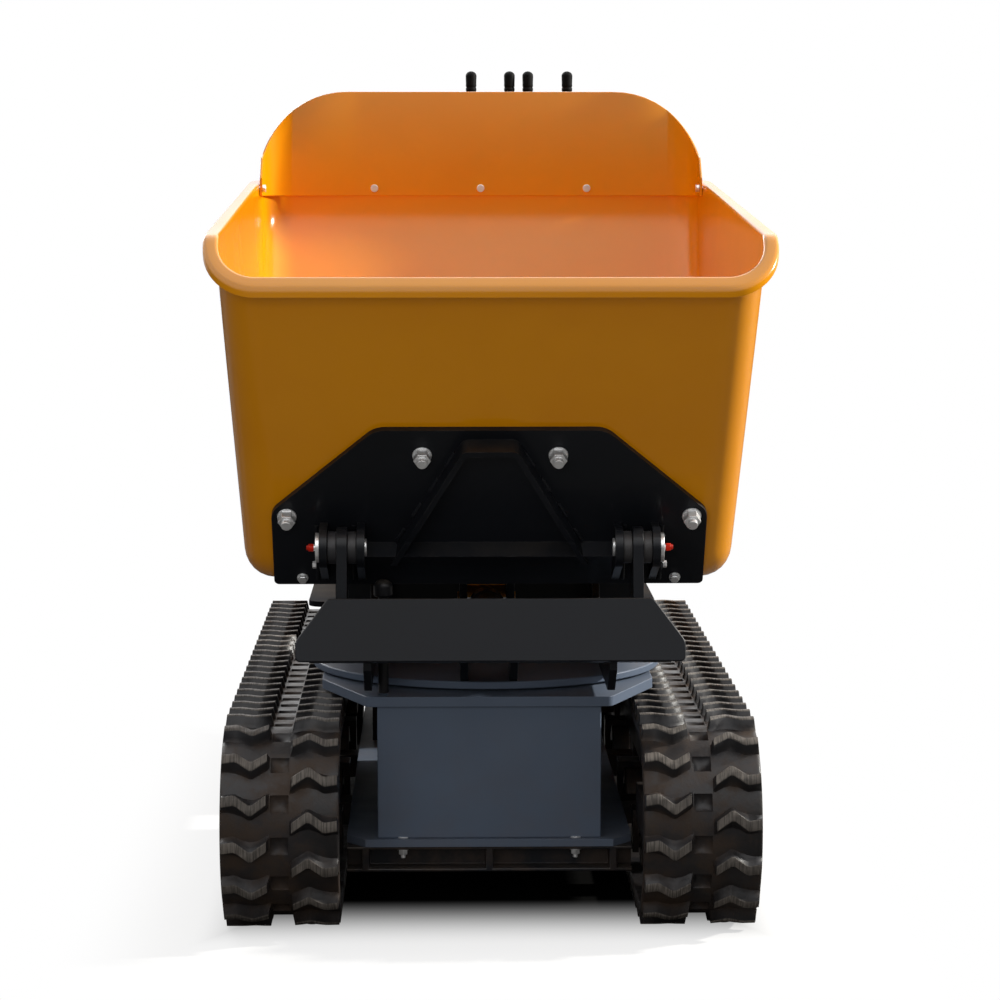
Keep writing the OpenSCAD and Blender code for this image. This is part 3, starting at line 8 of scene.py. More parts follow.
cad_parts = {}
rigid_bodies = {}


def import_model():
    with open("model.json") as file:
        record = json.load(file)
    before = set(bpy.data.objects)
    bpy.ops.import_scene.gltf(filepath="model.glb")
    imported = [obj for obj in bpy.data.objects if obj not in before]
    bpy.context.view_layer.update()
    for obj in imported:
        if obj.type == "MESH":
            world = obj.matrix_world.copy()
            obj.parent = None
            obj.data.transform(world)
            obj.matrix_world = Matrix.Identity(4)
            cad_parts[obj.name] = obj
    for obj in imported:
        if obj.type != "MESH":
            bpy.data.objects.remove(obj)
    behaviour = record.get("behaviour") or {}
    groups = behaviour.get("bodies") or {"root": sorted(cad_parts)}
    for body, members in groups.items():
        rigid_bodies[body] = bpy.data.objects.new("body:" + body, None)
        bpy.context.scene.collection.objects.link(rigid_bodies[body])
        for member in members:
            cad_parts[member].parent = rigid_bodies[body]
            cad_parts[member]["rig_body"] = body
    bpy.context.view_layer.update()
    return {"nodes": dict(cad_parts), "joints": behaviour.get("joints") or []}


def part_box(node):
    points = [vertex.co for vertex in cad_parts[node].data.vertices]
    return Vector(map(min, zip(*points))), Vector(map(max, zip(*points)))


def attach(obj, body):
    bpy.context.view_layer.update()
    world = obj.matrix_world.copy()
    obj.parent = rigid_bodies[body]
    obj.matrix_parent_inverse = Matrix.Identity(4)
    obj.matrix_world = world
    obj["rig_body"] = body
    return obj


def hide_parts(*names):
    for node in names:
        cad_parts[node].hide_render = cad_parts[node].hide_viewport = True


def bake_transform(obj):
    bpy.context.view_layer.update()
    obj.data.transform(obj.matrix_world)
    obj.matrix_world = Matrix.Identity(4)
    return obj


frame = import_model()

scene = bpy.context.scene
MM = 0.001


def joint_place(name):
    """A joint's place, in millimetres."""
    found = [joint for joint in frame["joints"] if joint["name"] == name][0]
    return Vector(found["pos_m"]) / MM


def corners(node):
    """Lowest and highest corner of a solid, in millimetres."""
    low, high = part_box(node)
    return low / MM, high / MM


# Camera, at the photograph's viewing angle; its place and reach are in metres

CAMERA_PLACE = (-0.0783, -5.5245, 1.148)
CAMERA_PITCH = radians(-5.91)
CAMERA_YAW = radians(-1.1425)
CAMERA_LENS = 110.7
CAMERA_SENSOR = 36
CAMERA_REACH = 60

camera = bpy.data.objects.new("camera", bpy.data.cameras.new("camera"))
scene.collection.objects.link(camera)
camera.data.lens = CAMERA_LENS
camera.data.sensor_width = CAMERA_SENSOR
camera.location = CAMERA_PLACE
camera.rotation_euler = (pi / 2 + CAMERA_PITCH, 0, CAMERA_YAW)
camera.data.clip_end = CAMERA_REACH
scene.camera = camera


# Shader helpers

def srgb(red, green, blue):
    """A colour as a picture shows it, 0 to 255, as the linear values that a shader takes."""
    def linear(level):
        share = level / 255
        return share / 12.92 if share <= 0.04045 else ((share + 0.055) / 1.055) ** 2.4
    return (linear(red), linear(green), linear(blue), 1.0)


class Graph:
    """A node tree with short calls that add nodes and link them."""

    def __init__(self, tree):
        self.tree = tree
        tree.nodes.clear()

    def set(self, socket, value):
        if isinstance(value, bpy.types.NodeSocket):
            self.tree.links.new(value, socket)
        else:
            socket.default_value = value

    def add(self, kind, values=None, **settings):
        node = self.tree.nodes.new(kind)
        for name, value in settings.items():
            setattr(node, name, value)
        for socket, value in (values or {}).items():
            self.set(node.inputs[socket], value)
        return node

    def sum(self, a, b, clamp=True):
        return self.add("ShaderNodeMath", {0: a, 1: b}, operation="ADD", use_clamp=clamp).outputs[0]

    def times(self, a, b):
        return self.add("ShaderNodeMath", {0: a, 1: b}, operation="MULTIPLY", use_clamp=True).outputs[0]

    def between(self, value, low, high):
        """A smooth step from 0 at low to 1 at high."""
        node = self.add("ShaderNodeMapRange", {"Value": value}, interpolation_type="SMOOTHSTEP")
        self.set(node.inputs["From Min"], low)
        self.set(node.inputs["From Max"], high)
        return node.outputs[0]

    def spread(self, value, low, high):
        """A value from 0 to 1 as one from low to high."""
        node = self.add("ShaderNodeMapRange", {"Value": value})
        self.set(node.inputs["To Min"], low)
        self.set(node.inputs["To Max"], high)
        return node.outputs[0]

    def mix(self, share, a, b):
        node = self.add("ShaderNodeMix", data_type="RGBA")
        self.set(node.inputs[0], share)
        self.set(node.inputs[6], a)
        self.set(node.inputs[7], b)
        return node.outputs[2]

    def noise(self, place, scale, detail=2.0, roughness=0.5):
        values = {"Vector": place, "Scale": scale, "Detail": detail, "Roughness": roughness}
        return self.add("ShaderNodeTexNoise", values).outputs[0]

    def place(self, kind="Object"):
        return self.add("ShaderNodeTexCoord").outputs[kind]

    def vector(self, operation, a, b=(0, 0, 0)):
        return self.add("ShaderNodeVectorMath", {0: a, 1: b}, operation=operation).outputs[0]

    def effect(self, group, **values):
        """A shared effect, placed with its own values."""
        node = self.add("ShaderNodeGroup", node_tree=group)
        for title, value in values.items():
            self.set(node.inputs[title], value)
        return node.outputs


def shared_effect(name, inputs, outputs, wire):
    """A shader node group with named inputs and outputs, wired by a function."""
    tree = bpy.data.node_groups.new(name, "ShaderNodeTree")
    for title, value in inputs.items():
        socket = tree.interface.new_socket(title, in_out="INPUT", socket_type="NodeSocketFloat")
        socket.default_value = value
    for title in outputs:
        tree.interface.new_socket(title, in_out="OUTPUT", socket_type="NodeSocketFloat")
    graph = Graph(tree)
    given = graph.add("NodeGroupInput").outputs
    wanted = graph.add("NodeGroupOutput").inputs
    for title, value in wire(graph, given).items():
        graph.set(wanted[title], value)
    return tree


def wire_surface_grain(graph, given):
    """Fine grain for the surface's relief and a slow drift for its tone."""
    place = graph.place()
    fine = graph.noise(place, given["Scale"], 3.0, 0.55)
    slow = graph.noise(place, given["Drift"], 3.0, 0.6)
    return {"Grain": fine, "Tone": graph.between(slow, 0.32, 0.68)}


def wire_settled_dust(graph, given):
    """Dust on what faces up, thinned by a cloudy pattern."""
    normal = graph.add("ShaderNodeSeparateXYZ", {0: graph.place("Normal")}).outputs[2]
    level = graph.between(normal, 0.3, 0.95)
    cloud = graph.between(graph.noise(graph.place(), given["Scale"], 6.0, 0.65), 0.34, 0.72)
    return {"Mask": graph.times(graph.times(level, cloud), given["Amount"])}


def wire_worn_and_highlit_edges(graph, given):
    """Thin rubbed lines along the edges, broken up by grain, which also serve as a painted highlight on
    the edges.
    """
    round_normal = graph.add("ShaderNodeBevel", {"Radius": given["Width"]}, samples=4).outputs[0]
    flat_normal = graph.add("ShaderNodeNewGeometry").outputs["Normal"]
    turn = graph.add("ShaderNodeVectorMath", {0: round_normal, 1: flat_normal}, operation="DOT_PRODUCT")
    edge = graph.between(turn.outputs["Value"], 0.985, 0.86)
    broken = graph.between(graph.noise(graph.place(), 38.0, 5.0, 0.7), 0.42, 0.66)
    return {"Mask": graph.times(graph.times(edge, broken), given["Amount"])}


def wire_ground_dirt(graph, given):
    """Dried soil, thickest at the ground and gone at the given height, in metres."""
    place = graph.place()
    height = graph.add("ShaderNodeSeparateXYZ", {0: place}).outputs[2]
    low = graph.between(height, given["Height"], 0.0)
    patches = graph.between(graph.noise(place, given["Scale"], 7.0, 0.62), 0.36, 0.66)
    return {"Mask": graph.times(graph.times(low, patches), given["Amount"])}


surface_grain = shared_effect(
    "surface_grain", {"Scale": 300.0, "Drift": 3.0}, ["Grain", "Tone"], wire_surface_grain)
settled_dust = shared_effect(
    "settled_dust", {"Amount": 0.3, "Scale": 9.0}, ["Mask"], wire_settled_dust)
worn_and_highlit_edges = shared_effect(
    "worn_and_highlit_edges", {"Width": 0.003, "Amount": 0.4}, ["Mask"], wire_worn_and_highlit_edges)
ground_dirt = shared_effect(
    "ground_dirt", {"Height": 0.4, "Amount": 0.4, "Scale": 14.0}, ["Mask"], wire_ground_dirt)


# Finishes

PALE_DUST = srgb(176, 160, 138)
BROWN_SOIL = srgb(104, 84, 66)
RUBBED_IRON = srgb(128, 126, 122)
SCUFFED_RUBBER = srgb(122, 116, 110)
LINED_RUBBER = srgb(78, 74, 70)
DRY_EARTH = srgb(62, 49, 38)
DAMP_EARTH = srgb(42, 32, 25)
FRAME_BLACK = srgb(18, 20, 24)
FRAME_SHADE = srgb(22, 24, 29)
DIRT_DULLS = 0.5


def new_finish(name):
    """A material with an empty tree, its graph and its surface shader."""
    material = bpy.data.materials.new(name)
    material.use_nodes = True
    graph = Graph(material.node_tree)
    shader = graph.add("ShaderNodeBsdfPrincipled")
    output = graph.add("ShaderNodeOutputMaterial")
    graph.tree.links.new(shader.outputs[0], output.inputs[0])
    return material, graph, shader.inputs


def relief(graph, shader, height, strength, distance):
    """Fine relief from a height, in metres."""
    bump = graph.add("ShaderNodeBump", {"Height": height, "Strength": strength, "Distance": distance})
    graph.set(shader["Normal"], bump.outputs[0])


def paint(name, colour, shade, bare_and_highlight, roughness, coat, dust, edge_wear_and_highlight, soil, mirror):
    """Sprayed enamel: orange peel, a slow drift of tone, dust on top and thin worn edges that also act as
    a painted edge highlight.
    """
    material, graph, shader = new_finish(name)
    grain = graph.effect(surface_grain, Scale=260.0, Drift=2.6)
    film = graph.effect(settled_dust, Amount=dust, Scale=7.0)["Mask"]
    # Thin edges: partly wear, partly a painted highlight that lightens the edges of dark paint
    edge = graph.effect(worn_and_highlit_edges, Width=0.0025, Amount=edge_wear_and_highlight)["Mask"]
    splash = graph.effect(ground_dirt, Height=0.45, Amount=soil, Scale=16.0)["Mask"]
    base = graph.mix(grain["Tone"], colour, shade)
    base = graph.mix(edge, base, bare_and_highlight)
    base = graph.mix(film, base, PALE_DUST)
    graph.set(shader["Base Color"], graph.mix(splash, base, BROWN_SOIL))
    dull = graph.spread(grain["Tone"], roughness - 0.03, roughness + 0.05)
    dull = graph.sum(dull, graph.times(film, DIRT_DULLS))
    graph.set(shader["Roughness"], graph.sum(dull, graph.times(splash, DIRT_DULLS)))
    shader["Specular IOR Level"].default_value = mirror
    shader["Coat Weight"].default_value = coat
    shader["Coat Roughness"].default_value = 0.06
    relief(graph, shader, grain["Grain"], strength=0.06, distance=0.0006)
    return material


def metal(name, colour, tarnish, roughness, soil=0.0, plating=1.0):
    """Bare or plated metal with fine machining grain and a little tarnish."""
    material, graph, shader = new_finish(name)
    lines = graph.noise(graph.place(), scale=420.0)
    grain = graph.effect(surface_grain, Scale=180.0, Drift=9.0)
    splash = graph.effect(ground_dirt, Height=0.4, Amount=soil, Scale=20.0)["Mask"]
    base = graph.mix(graph.times(grain["Tone"], 0.6), colour, tarnish)
    graph.set(shader["Base Color"], graph.mix(splash, base, BROWN_SOIL))
    graph.set(shader["Metallic"], graph.spread(splash, plating, 0.1))
    dull = graph.spread(lines, roughness - 0.07, roughness + 0.09)
    graph.set(shader["Roughness"], graph.sum(dull, graph.times(splash, DIRT_DULLS)))
    relief(graph, shader, lines, strength=0.05, distance=0.0003)
    return material


def plastic(name, colour, shade, roughness, grain_scale, dust, mirror=0.2):
    """Moulded plastic or rubber with a fine texture."""
    material, graph, shader = new_finish(name)
    grain = graph.effect(surface_grain, Scale=grain_scale, Drift=5.0)
    film = graph.effect(settled_dust, Amount=dust, Scale=10.0)["Mask"]
    base = graph.mix(grain["Tone"], colour, shade)
    graph.set(shader["Base Color"], graph.mix(film, base, PALE_DUST))
    dull = graph.spread(grain["Grain"], roughness - 0.06, roughness + 0.08)
    graph.set(shader["Roughness"], graph.sum(dull, film))
    shader["Specular IOR Level"].default_value = mirror
    relief(graph, shader, grain["Grain"], strength=0.16, distance=0.0005)
    return material


def cast_iron(name, colour, shade, roughness, soil):
    """Sand-cast iron under thin paint, with soil near the ground."""
    material, graph, shader = new_finish(name)
    grain = graph.effect(surface_grain, Scale=150.0, Drift=8.0)
    edge = graph.effect(worn_and_highlit_edges, Width=0.003, Amount=0.5)["Mask"]
    splash = graph.effect(ground_dirt, Height=0.42, Amount=soil, Scale=22.0)["Mask"]
    base = graph.mix(grain["Tone"], colour, shade)
    base = graph.mix(edge, base, RUBBED_IRON)
    graph.set(shader["Base Color"], graph.mix(splash, base, BROWN_SOIL))
    graph.set(shader["Metallic"], graph.times(edge, 0.8))
    graph.set(shader["Roughness"], graph.spread(grain["Grain"], roughness - 0.08, roughness + 0.12))
    relief(graph, shader, grain["Grain"], strength=0.35, distance=0.0008)
    return material


def ribbed_rubber(name, colour, shade, mirror):
    """Track rubber: dull worn crests with fine cross lines, glossy flanks and soil in the low places."""
    material, graph, shader = new_finish(name)
    crest = graph.add("ShaderNodeAttribute", attribute_name="crest").outputs["Fac"]
    low = graph.add("ShaderNodeAttribute", attribute_name="low").outputs["Fac"]
    grain = graph.effect(surface_grain, Scale=210.0, Drift=12.0)
    place = graph.place()
    worn = graph.between(crest, 0.86, 0.98)
    across = graph.vector("MULTIPLY", place, (1.0, 0.05, 0.05))
    fine = graph.between(graph.noise(across, scale=520.0, roughness=0.6), 0.4, 0.62)
    cloud = graph.between(graph.noise(place, scale=14.0, detail=6.0, roughness=0.66), 0.4, 0.68)
    splash = graph.effect(ground_dirt, Height=0.26, Amount=0.6, Scale=18.0)["Mask"]
    black = graph.mix(grain["Tone"], colour, shade)
    crest_tone = graph.mix(graph.times(fine, 0.9), SCUFFED_RUBBER, LINED_RUBBER)
    base = graph.mix(graph.times(worn, graph.spread(cloud, 0.6, 0.95)), black, crest_tone)
    earth = graph.times(low, graph.spread(cloud, 0.04, 0.7))
    base = graph.mix(earth, base, DRY_EARTH)
    graph.set(shader["Base Color"], graph.mix(graph.times(splash, 0.7), base, DAMP_EARTH))
    dull = graph.sum(graph.spread(grain["Grain"], 0.3, 0.42), graph.times(worn, 0.3))
    graph.set(shader["Roughness"], graph.sum(dull, graph.times(graph.sum(earth, splash), 0.45)))
    shader["Specular IOR Level"].default_value = mirror
    height = graph.sum(grain["Grain"], graph.times(cloud, 0.6), clamp=False)
    relief(graph, shader, height, strength=0.3, distance=0.001)
    return material


FINISHES = {
    "skip_paint": paint(
        "skip_paint", srgb(240, 156, 1), srgb(234, 149, 0), bare_and_highlight=srgb(150, 140, 126),
        roughness=0.2, coat=0.28, dust=0.04, edge_wear_and_highlight=0.12, soil=0.0, mirror=0.25),
    "frame_paint": paint(
        "frame_paint", FRAME_BLACK, FRAME_SHADE, bare_and_highlight=srgb(110, 109, 107),
        roughness=0.4, coat=0.1, dust=0.05, edge_wear_and_highlight=0.2, soil=0.2, mirror=0.18),
    "pedestal_paint": paint(
        "pedestal_paint", srgb(94, 106, 124), srgb(88, 99, 116), bare_and_highlight=srgb(150, 150, 148),
        roughness=0.42, coat=0.0, dust=0.06, edge_wear_and_highlight=0.2, soil=0.15, mirror=0.15),
    "track_rubber": ribbed_rubber("track_rubber", srgb(24, 24, 26), srgb(34, 34, 37), mirror=0.25),
    "wheel_iron": cast_iron("wheel_iron", srgb(46, 46, 49), srgb(58, 57, 58), roughness=0.52, soil=0.7),
    "gear_steel": metal("gear_steel", srgb(150, 150, 152), srgb(104, 100, 95), roughness=0.36, soil=0.3),
    "bearing_bronze": metal("bearing_bronze", srgb(176, 132, 70), srgb(128, 92, 52), roughness=0.4),
    "rod_chrome": metal("rod_chrome", srgb(214, 216, 218), srgb(196, 197, 200), roughness=0.16),
    "zinc": metal("zinc", srgb(240, 241, 242), srgb(216, 217, 218), roughness=0.3, plating=0.65),
    "red_plastic": plastic(
        "red_plastic", srgb(206, 40, 18), srgb(182, 30, 14), roughness=0.36, grain_scale=240.0, dust=0.05),
    "grip_rubber": plastic(
        "grip_rubber", srgb(8, 8, 8), srgb(12, 12, 12), roughness=0.6, grain_scale=420.0, dust=0.01,
        mirror=0.08),
    "black_plastic": plastic(
        "black_plastic", srgb(26, 26, 28), srgb(33, 33, 35), roughness=0.4, grain_scale=300.0, dust=0.08),
    "engine_alloy": metal(
        "engine_alloy", srgb(168, 170, 172), srgb(128, 128, 128), roughness=0.46, soil=0.15),
    "exhaust": metal("exhaust", srgb(96, 88, 82), srgb(122, 78, 52), roughness=0.5),
}
DECK_COAT = paint(
    "deck_coat", FRAME_BLACK, FRAME_SHADE, bare_and_highlight=srgb(90, 89, 87),
    roughness=0.75, coat=0.0, dust=0.05, edge_wear_and_highlight=0.2, soil=0.2, mirror=0.03)


# Mesh helpers; angles are in degrees and lengths in millimetres

SHARP_EDGE = 38
BEVEL_EDGE = 32
SAME_POINT = 0.02
FLAT_TURN = 0.6
WASHER = 2.2
WASHER_ROUND = 0.5
WELD_STEP = 2.0
WELD_SIDES = 8
WELD_SCALE = 5.0
WELD_SCALE_DEPTH = 0.22
# A direction that no weld runs along
ASKEW = Vector((0.31, 0.17, 0.93))
# A quarter circle in six steps, as angles for cos and sin
QUARTER_TURN = [radians(15 * k) for k in range(7)]


def smooth_shading(mesh, sharp):
    """Smooth shading, with edges over the given angle kept sharp."""
    mesh.polygons.foreach_set("use_smooth", [True] * len(mesh.polygons))
    mesh.set_sharp_from_angle(angle=radians(sharp))


def add_piece(name, mesh, slot, body, stands_for=(), sharp=SHARP_EDGE):
    """A finished mesh, in metres, as a piece that rides on a body where one is given."""
    mesh.materials.clear()
    mesh.materials.append(FINISHES[slot])
    smooth_shading(mesh, sharp)
    piece_object = bpy.data.objects.new(name, mesh)
    scene.collection.objects.link(piece_object)
    if body:
        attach(piece_object, body)
    if stands_for:
        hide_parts(*stands_for)
    return piece_object


def piece(name, shape, slot, body, stands_for=(), sharp=SHARP_EDGE):
    """A piece from a shape, which is a list of points in millimetres and a list of faces."""
    points, faces = shape
    mesh = bpy.data.meshes.new(name)
    mesh.from_pydata([Vector(point) * MM for point in points], [], faces)
    work = bmesh.new()
    work.from_mesh(mesh)
    bmesh.ops.recalc_face_normals(work, faces=work.faces)
    work.to_mesh(mesh)
    work.free()
    return add_piece(name, mesh, slot, body, stands_for, sharp)


def soften(piece_object, width):
    """Breaks the sharp edges of a piece with a small round, in millimetres."""
    bevel = piece_object.modifiers.new("broken_edges", "BEVEL")
    bevel.width = width * MM
    bevel.segments = 2
    bevel.limit_method = "ANGLE"
    bevel.angle_limit = radians(BEVEL_EDGE)
    normals = piece_object.modifiers.new("flat_faces", "WEIGHTED_NORMAL")
    normals.keep_sharp = True


def joined(*shapes):
    """Several shapes as one."""
    points, faces = [], []
    for more_points, more_faces in shapes:
        start = len(points)
        points += more_points
        faces += [[start + index for index in face] for face in more_faces]
    return points, faces


def moved(shape, matrix):
    """A shape in another place."""
    points, faces = shape
    return [matrix @ Vector(point) for point in points], faces


def loft(rings):
    """Faces between closed rings of as many points each, and over both ends."""
    count = len(rings[0])
    points = [point for ring in rings for point in ring]
    faces = []
    for k in range(len(rings) - 1):
        for j in range(count):
            j2 = (j + 1) % count
            faces.append([k * count + j, k * count + j2, (k + 1) * count + j2, (k + 1) * count + j])
    faces.append(list(range(count - 1, -1, -1)))
    faces.append([len(points) - count + j for j in range(count)])
    return points, faces


def lathe(profile, centre, axis, steps):
    """A round piece: a profile of (radius, height) pairs turned about an axis through a centre."""
    turn = Vector((0, 0, 1)).rotation_difference(Vector(axis)).to_matrix()
    angles = [2 * pi * k / steps for k in range(steps)]
    rings = []
    for radius, height in profile:
        ring = [Vector((radius * cos(a), radius * sin(a), height)) for a in angles]
        rings.append([Vector(centre) + turn @ point for point in ring])
    return loft(rings)


def weld_bead(start, end, radius):
    """A welded seam between two points, with its scales."""
    span = end - start
    side = span.cross(ASKEW).normalized()
    up = side.cross(span).normalized()
    angles = [2 * pi * j / WELD_SIDES for j in range(WELD_SIDES)]
    count = max(2, round(span.length / WELD_STEP))
    rings = []
    for k in range(count + 1):
        travelled = span.length * k / count
        r = radius * (1 + WELD_SCALE_DEPTH * abs(sin(pi * travelled / WELD_SCALE)))
        rings.append([start.lerp(end, k / count) + r * (cos(a) * side + sin(a) * up) for a in angles])
    return loft(rings)


def stitches(start, end, length, gap, radius):
    """Short welds along a line, with gaps between them."""
    span = (end - start).length
    ahead = (end - start) / span
    count = max(1, int((span + gap) / (length + gap)))
    spare = (span - count * length - (count - 1) * gap) / 2
    beads = []
    for k in range(count):
        first = start + ahead * (spare + k * (length + gap))
        beads.append(weld_bead(first, first + ahead * length, radius))
    return beads


def hex_head(centre, axis, across, height, washer=0.0):
    """A hexagon head or nut with chamfered corners; a washer of the given radius lies behind it."""
    r = across / sqrt(3)
    profile = [(0.93 * r, 0.0), (r, 0.07 * height), (r, 0.86 * height), (0.88 * r, height)]
    shape = lathe(profile, centre, axis, 6)
    if washer:
        inner = washer - WASHER_ROUND
        rim = [(inner, 0), (washer, WASHER_ROUND), (washer, WASHER - 0.4), (inner, WASHER)]
        shape = joined(shape, lathe(rim, Vector(centre) - WASHER * Vector(axis), axis, 28))
    return shape


def cut_plate(loops, thickness, edge):
    """A flat plate across Z from an outline and its holes, with broken edges."""
    curve = bpy.data.curves.new("cut_plate", "CURVE")
    curve.dimensions = "2D"
    curve.fill_mode = "BOTH"
    curve.extrude = thickness / 2 - edge
    curve.bevel_depth = edge
    curve.bevel_resolution = 1
    curve.offset = -edge
    for loop in loops:
        spline = curve.splines.new("POLY")
        spline.points.add(len(loop) - 1)
        for point, place in zip(spline.points, loop):
            point.co = (place[0], place[1], 0, 1)
        spline.use_cyclic_u = True
    holder = bpy.data.objects.new("cut_plate", curve)
    mesh = bpy.data.meshes.new_from_object(holder)
    bpy.data.objects.remove(holder)
    points = [vertex.co.copy() for vertex in mesh.vertices]
    return points, [list(face.vertices) for face in mesh.polygons]


def dressed(node, slot, edge):
    """A solid's own shape with its coplanar faces joined and its edges broken."""
    source = frame["nodes"][node]
    mesh = bpy.data.meshes.new(node + "_dressed")
    work = bmesh.new()
    work.from_mesh(source.data)
    bmesh.ops.remove_doubles(work, verts=work.verts, dist=SAME_POINT * MM)
    bmesh.ops.dissolve_limit(work, angle_limit=radians(FLAT_TURN), verts=work.verts, edges=work.edges)
    work.to_mesh(mesh)
    work.free()
    if "custom_normal" in mesh.attributes:
        mesh.attributes.remove(mesh.attributes["custom_normal"])
    soften(add_piece(node + "_dressed", mesh, slot, source["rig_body"], (node,)), edge)


# Solids that keep their shape, by finish and by the width of their broken edges

KEPT_SOLIDS = {
    ("frame_paint", 1.6): [
        "cross_beams", "swing_frame", "front_guard", "hinge_plate", "rear_deck",
        "track_frame_left", "track_frame_right", "idler_yoke_left", "idler_yoke_right",
        "operator_platform", "grab_rail", "control_console", "hydraulic_tank"],
    ("frame_paint", 1.0): ["tip_cylinder_barrel"],
    ("pedestal_paint", 2.0): ["pedestal_box", "slew_base_plate", "chassis_base_plate", "turntable_disc"],
    ("wheel_iron", 1.5): [
        "drive_sprocket_left", "drive_sprocket_right", "idler_wheel_left", "idler_wheel_right",
        "track_roller_left_1", "track_roller_left_2", "track_roller_left_3",
        "track_roller_right_1", "track_roller_right_2", "track_roller_right_3",
        "travel_motor_left", "travel_motor_right", "slew_motor", "hinge_bushes"],
    ("gear_steel", 0.5): ["slew_gear", "slew_pinion"],
    ("bearing_bronze", 0.5): ["slew_wear_ring"],
    ("rod_chrome", 1.0): ["tip_cylinder_rod"],
    ("zinc", 0.6): [
        "hinge_pins", "skip_bolts", "hood_bolts",
        "slew_lever", "travel_lever_left", "travel_lever_right", "tip_lever"],
    ("red_plastic", 0.6): ["grease_caps", "throttle_lever"],
    ("black_plastic", 0.8): ["slew_lock_pin", "fuel_tank"],
    ("engine_alloy", 1.0): ["engine_block", "hydraulic_pump"],
    ("exhaust", 1.5): ["muffler"],
    ("skip_paint", 0.8): ["cowl_shell", "engine_hood"],
}
for (slot, edge), nodes in KEPT_SOLIDS.items():
    for node in nodes:
        dressed(node, slot, edge)

# The deck is frame paint with a matt, gritty top coat
bpy.data.objects["rear_deck_dressed"].data.materials[0] = DECK_COAT


# Skip shell, measured from the tip hinge

HINGE = joint_place("tip")
FLOOR_DROP = 59
FLOOR_SETBACK = 108
FLOOR_LENGTH = 530
FLOOR_WIDTH = 760
REAR_RUN = 390
REAR_SLOPE = 546
SKIP_WIDTH = 855
SHEET = 5
SHEET_ROUND = 1
FLANGE = 18
LIP = 14
FLANGE_BEND = 6
FLANGE_INNER_BEND = 2
FRONT_HEIGHT = 485
FRONT_LEAN = radians(32.5)
CORNER = 58
CORNER_STEPS = 14
FLOOR_FILLET = 40
RIM_RUN = 70
RIM_STEEP = radians(40)
RIM_LEVEL = radians(4)
RIM_EASE = 10
SLOPE_EASE = 0.05
FLOOR_Z = HINGE.z - FLOOR_DROP
FLOOR_FRONT = HINGE.y + FLOOR_SETBACK
RIM_HALF = SKIP_WIDTH / 2 - FLANGE - SHEET
FRONT_RUN = FRONT_HEIGHT * tan(FRONT_LEAN)
FRONT_RIM_Y = FLOOR_FRONT - FRONT_RUN
FRONT_RIM_Z = FLOOR_Z + FRONT_HEIGHT
KINK_Y = FRONT_RIM_Y + RIM_RUN
KINK_Z = FRONT_RIM_Z + RIM_RUN * tan(RIM_STEEP)
FLOOR_REAR = FLOOR_FRONT + FLOOR_LENGTH
REAR_WALL_Y = FLOOR_REAR + REAR_RUN
REAR_RIM_Z = KINK_Z + (REAR_WALL_Y - KINK_Y) * tan(RIM_LEVEL)
SLOPE_SHARE = REAR_SLOPE / (REAR_RIM_Z - FLOOR_Z)
NEAR_KINK = (-6, 0, 6, 14)
NEAR_SLOPE_TOP = (-0.03, -0.015, 0, 0.015, 0.03)
WALL_SHARES = [0.25, 0.5, 0.72, 0.82] + [SLOPE_SHARE + step for step in NEAR_SLOPE_TOP] + [0.95]


def eased_min(a, b, blend):
    """The smaller of two values, eased over where they meet."""
    near = max(blend - abs(a - b), 0) / blend
    return min(a, b) - near * near * blend / 4


def rim_height(y):
    """Height of the rim: steep over the front corner, then nearly level."""
    steep = FRONT_RIM_Z + (y - FRONT_RIM_Y) * tan(RIM_STEEP)
    level = KINK_Z + (y - KINK_Y) * tan(RIM_LEVEL)
    return eased_min(steep, level, RIM_EASE)


def skip_plan(share, off):
    """The skip's outline at a share of its height, moved out by an offset."""
    front = FLOOR_FRONT - share * FRONT_RUN - off
    rear = FLOOR_REAR + REAR_RUN * eased_min(1, share / SLOPE_SHARE, SLOPE_EASE) + off
    half = FLOOR_WIDTH / 2 + (RIM_HALF - FLOOR_WIDTH / 2) * share + off
    r = CORNER + off
    kink = FLOOR_FRONT - share * FRONT_RUN + RIM_RUN
    near_kink = [kink + step for step in NEAR_KINK]

    def arc(x, y, start):
        angles = [radians(start + 90 * k / CORNER_STEPS) for k in range(CORNER_STEPS + 1)]
        return [(x + r * cos(a), y + r * sin(a)) for a in angles]

    front_corners = arc(-half + r, front + r, 180) + arc(half - r, front + r, 270)
    rear_corners = arc(half - r, rear - r, 0) + arc(-half + r, rear - r, 90)
    right_side = [(half, y) for y in near_kink]
    left_side = [(-half, y) for y in reversed(near_kink)]
    return front_corners + right_side + rear_corners + left_side


def shell_ring(share, off, drop):
    """One ring round the skip, its height a share of the rim's over each point."""
    rim = skip_plan(1, off)
    return [(x, y, FLOOR_Z + share * (rim_height(rim[k][1]) - FLOOR_Z) - drop)
            for k, (x, y) in enumerate(skip_plan(share, off))]


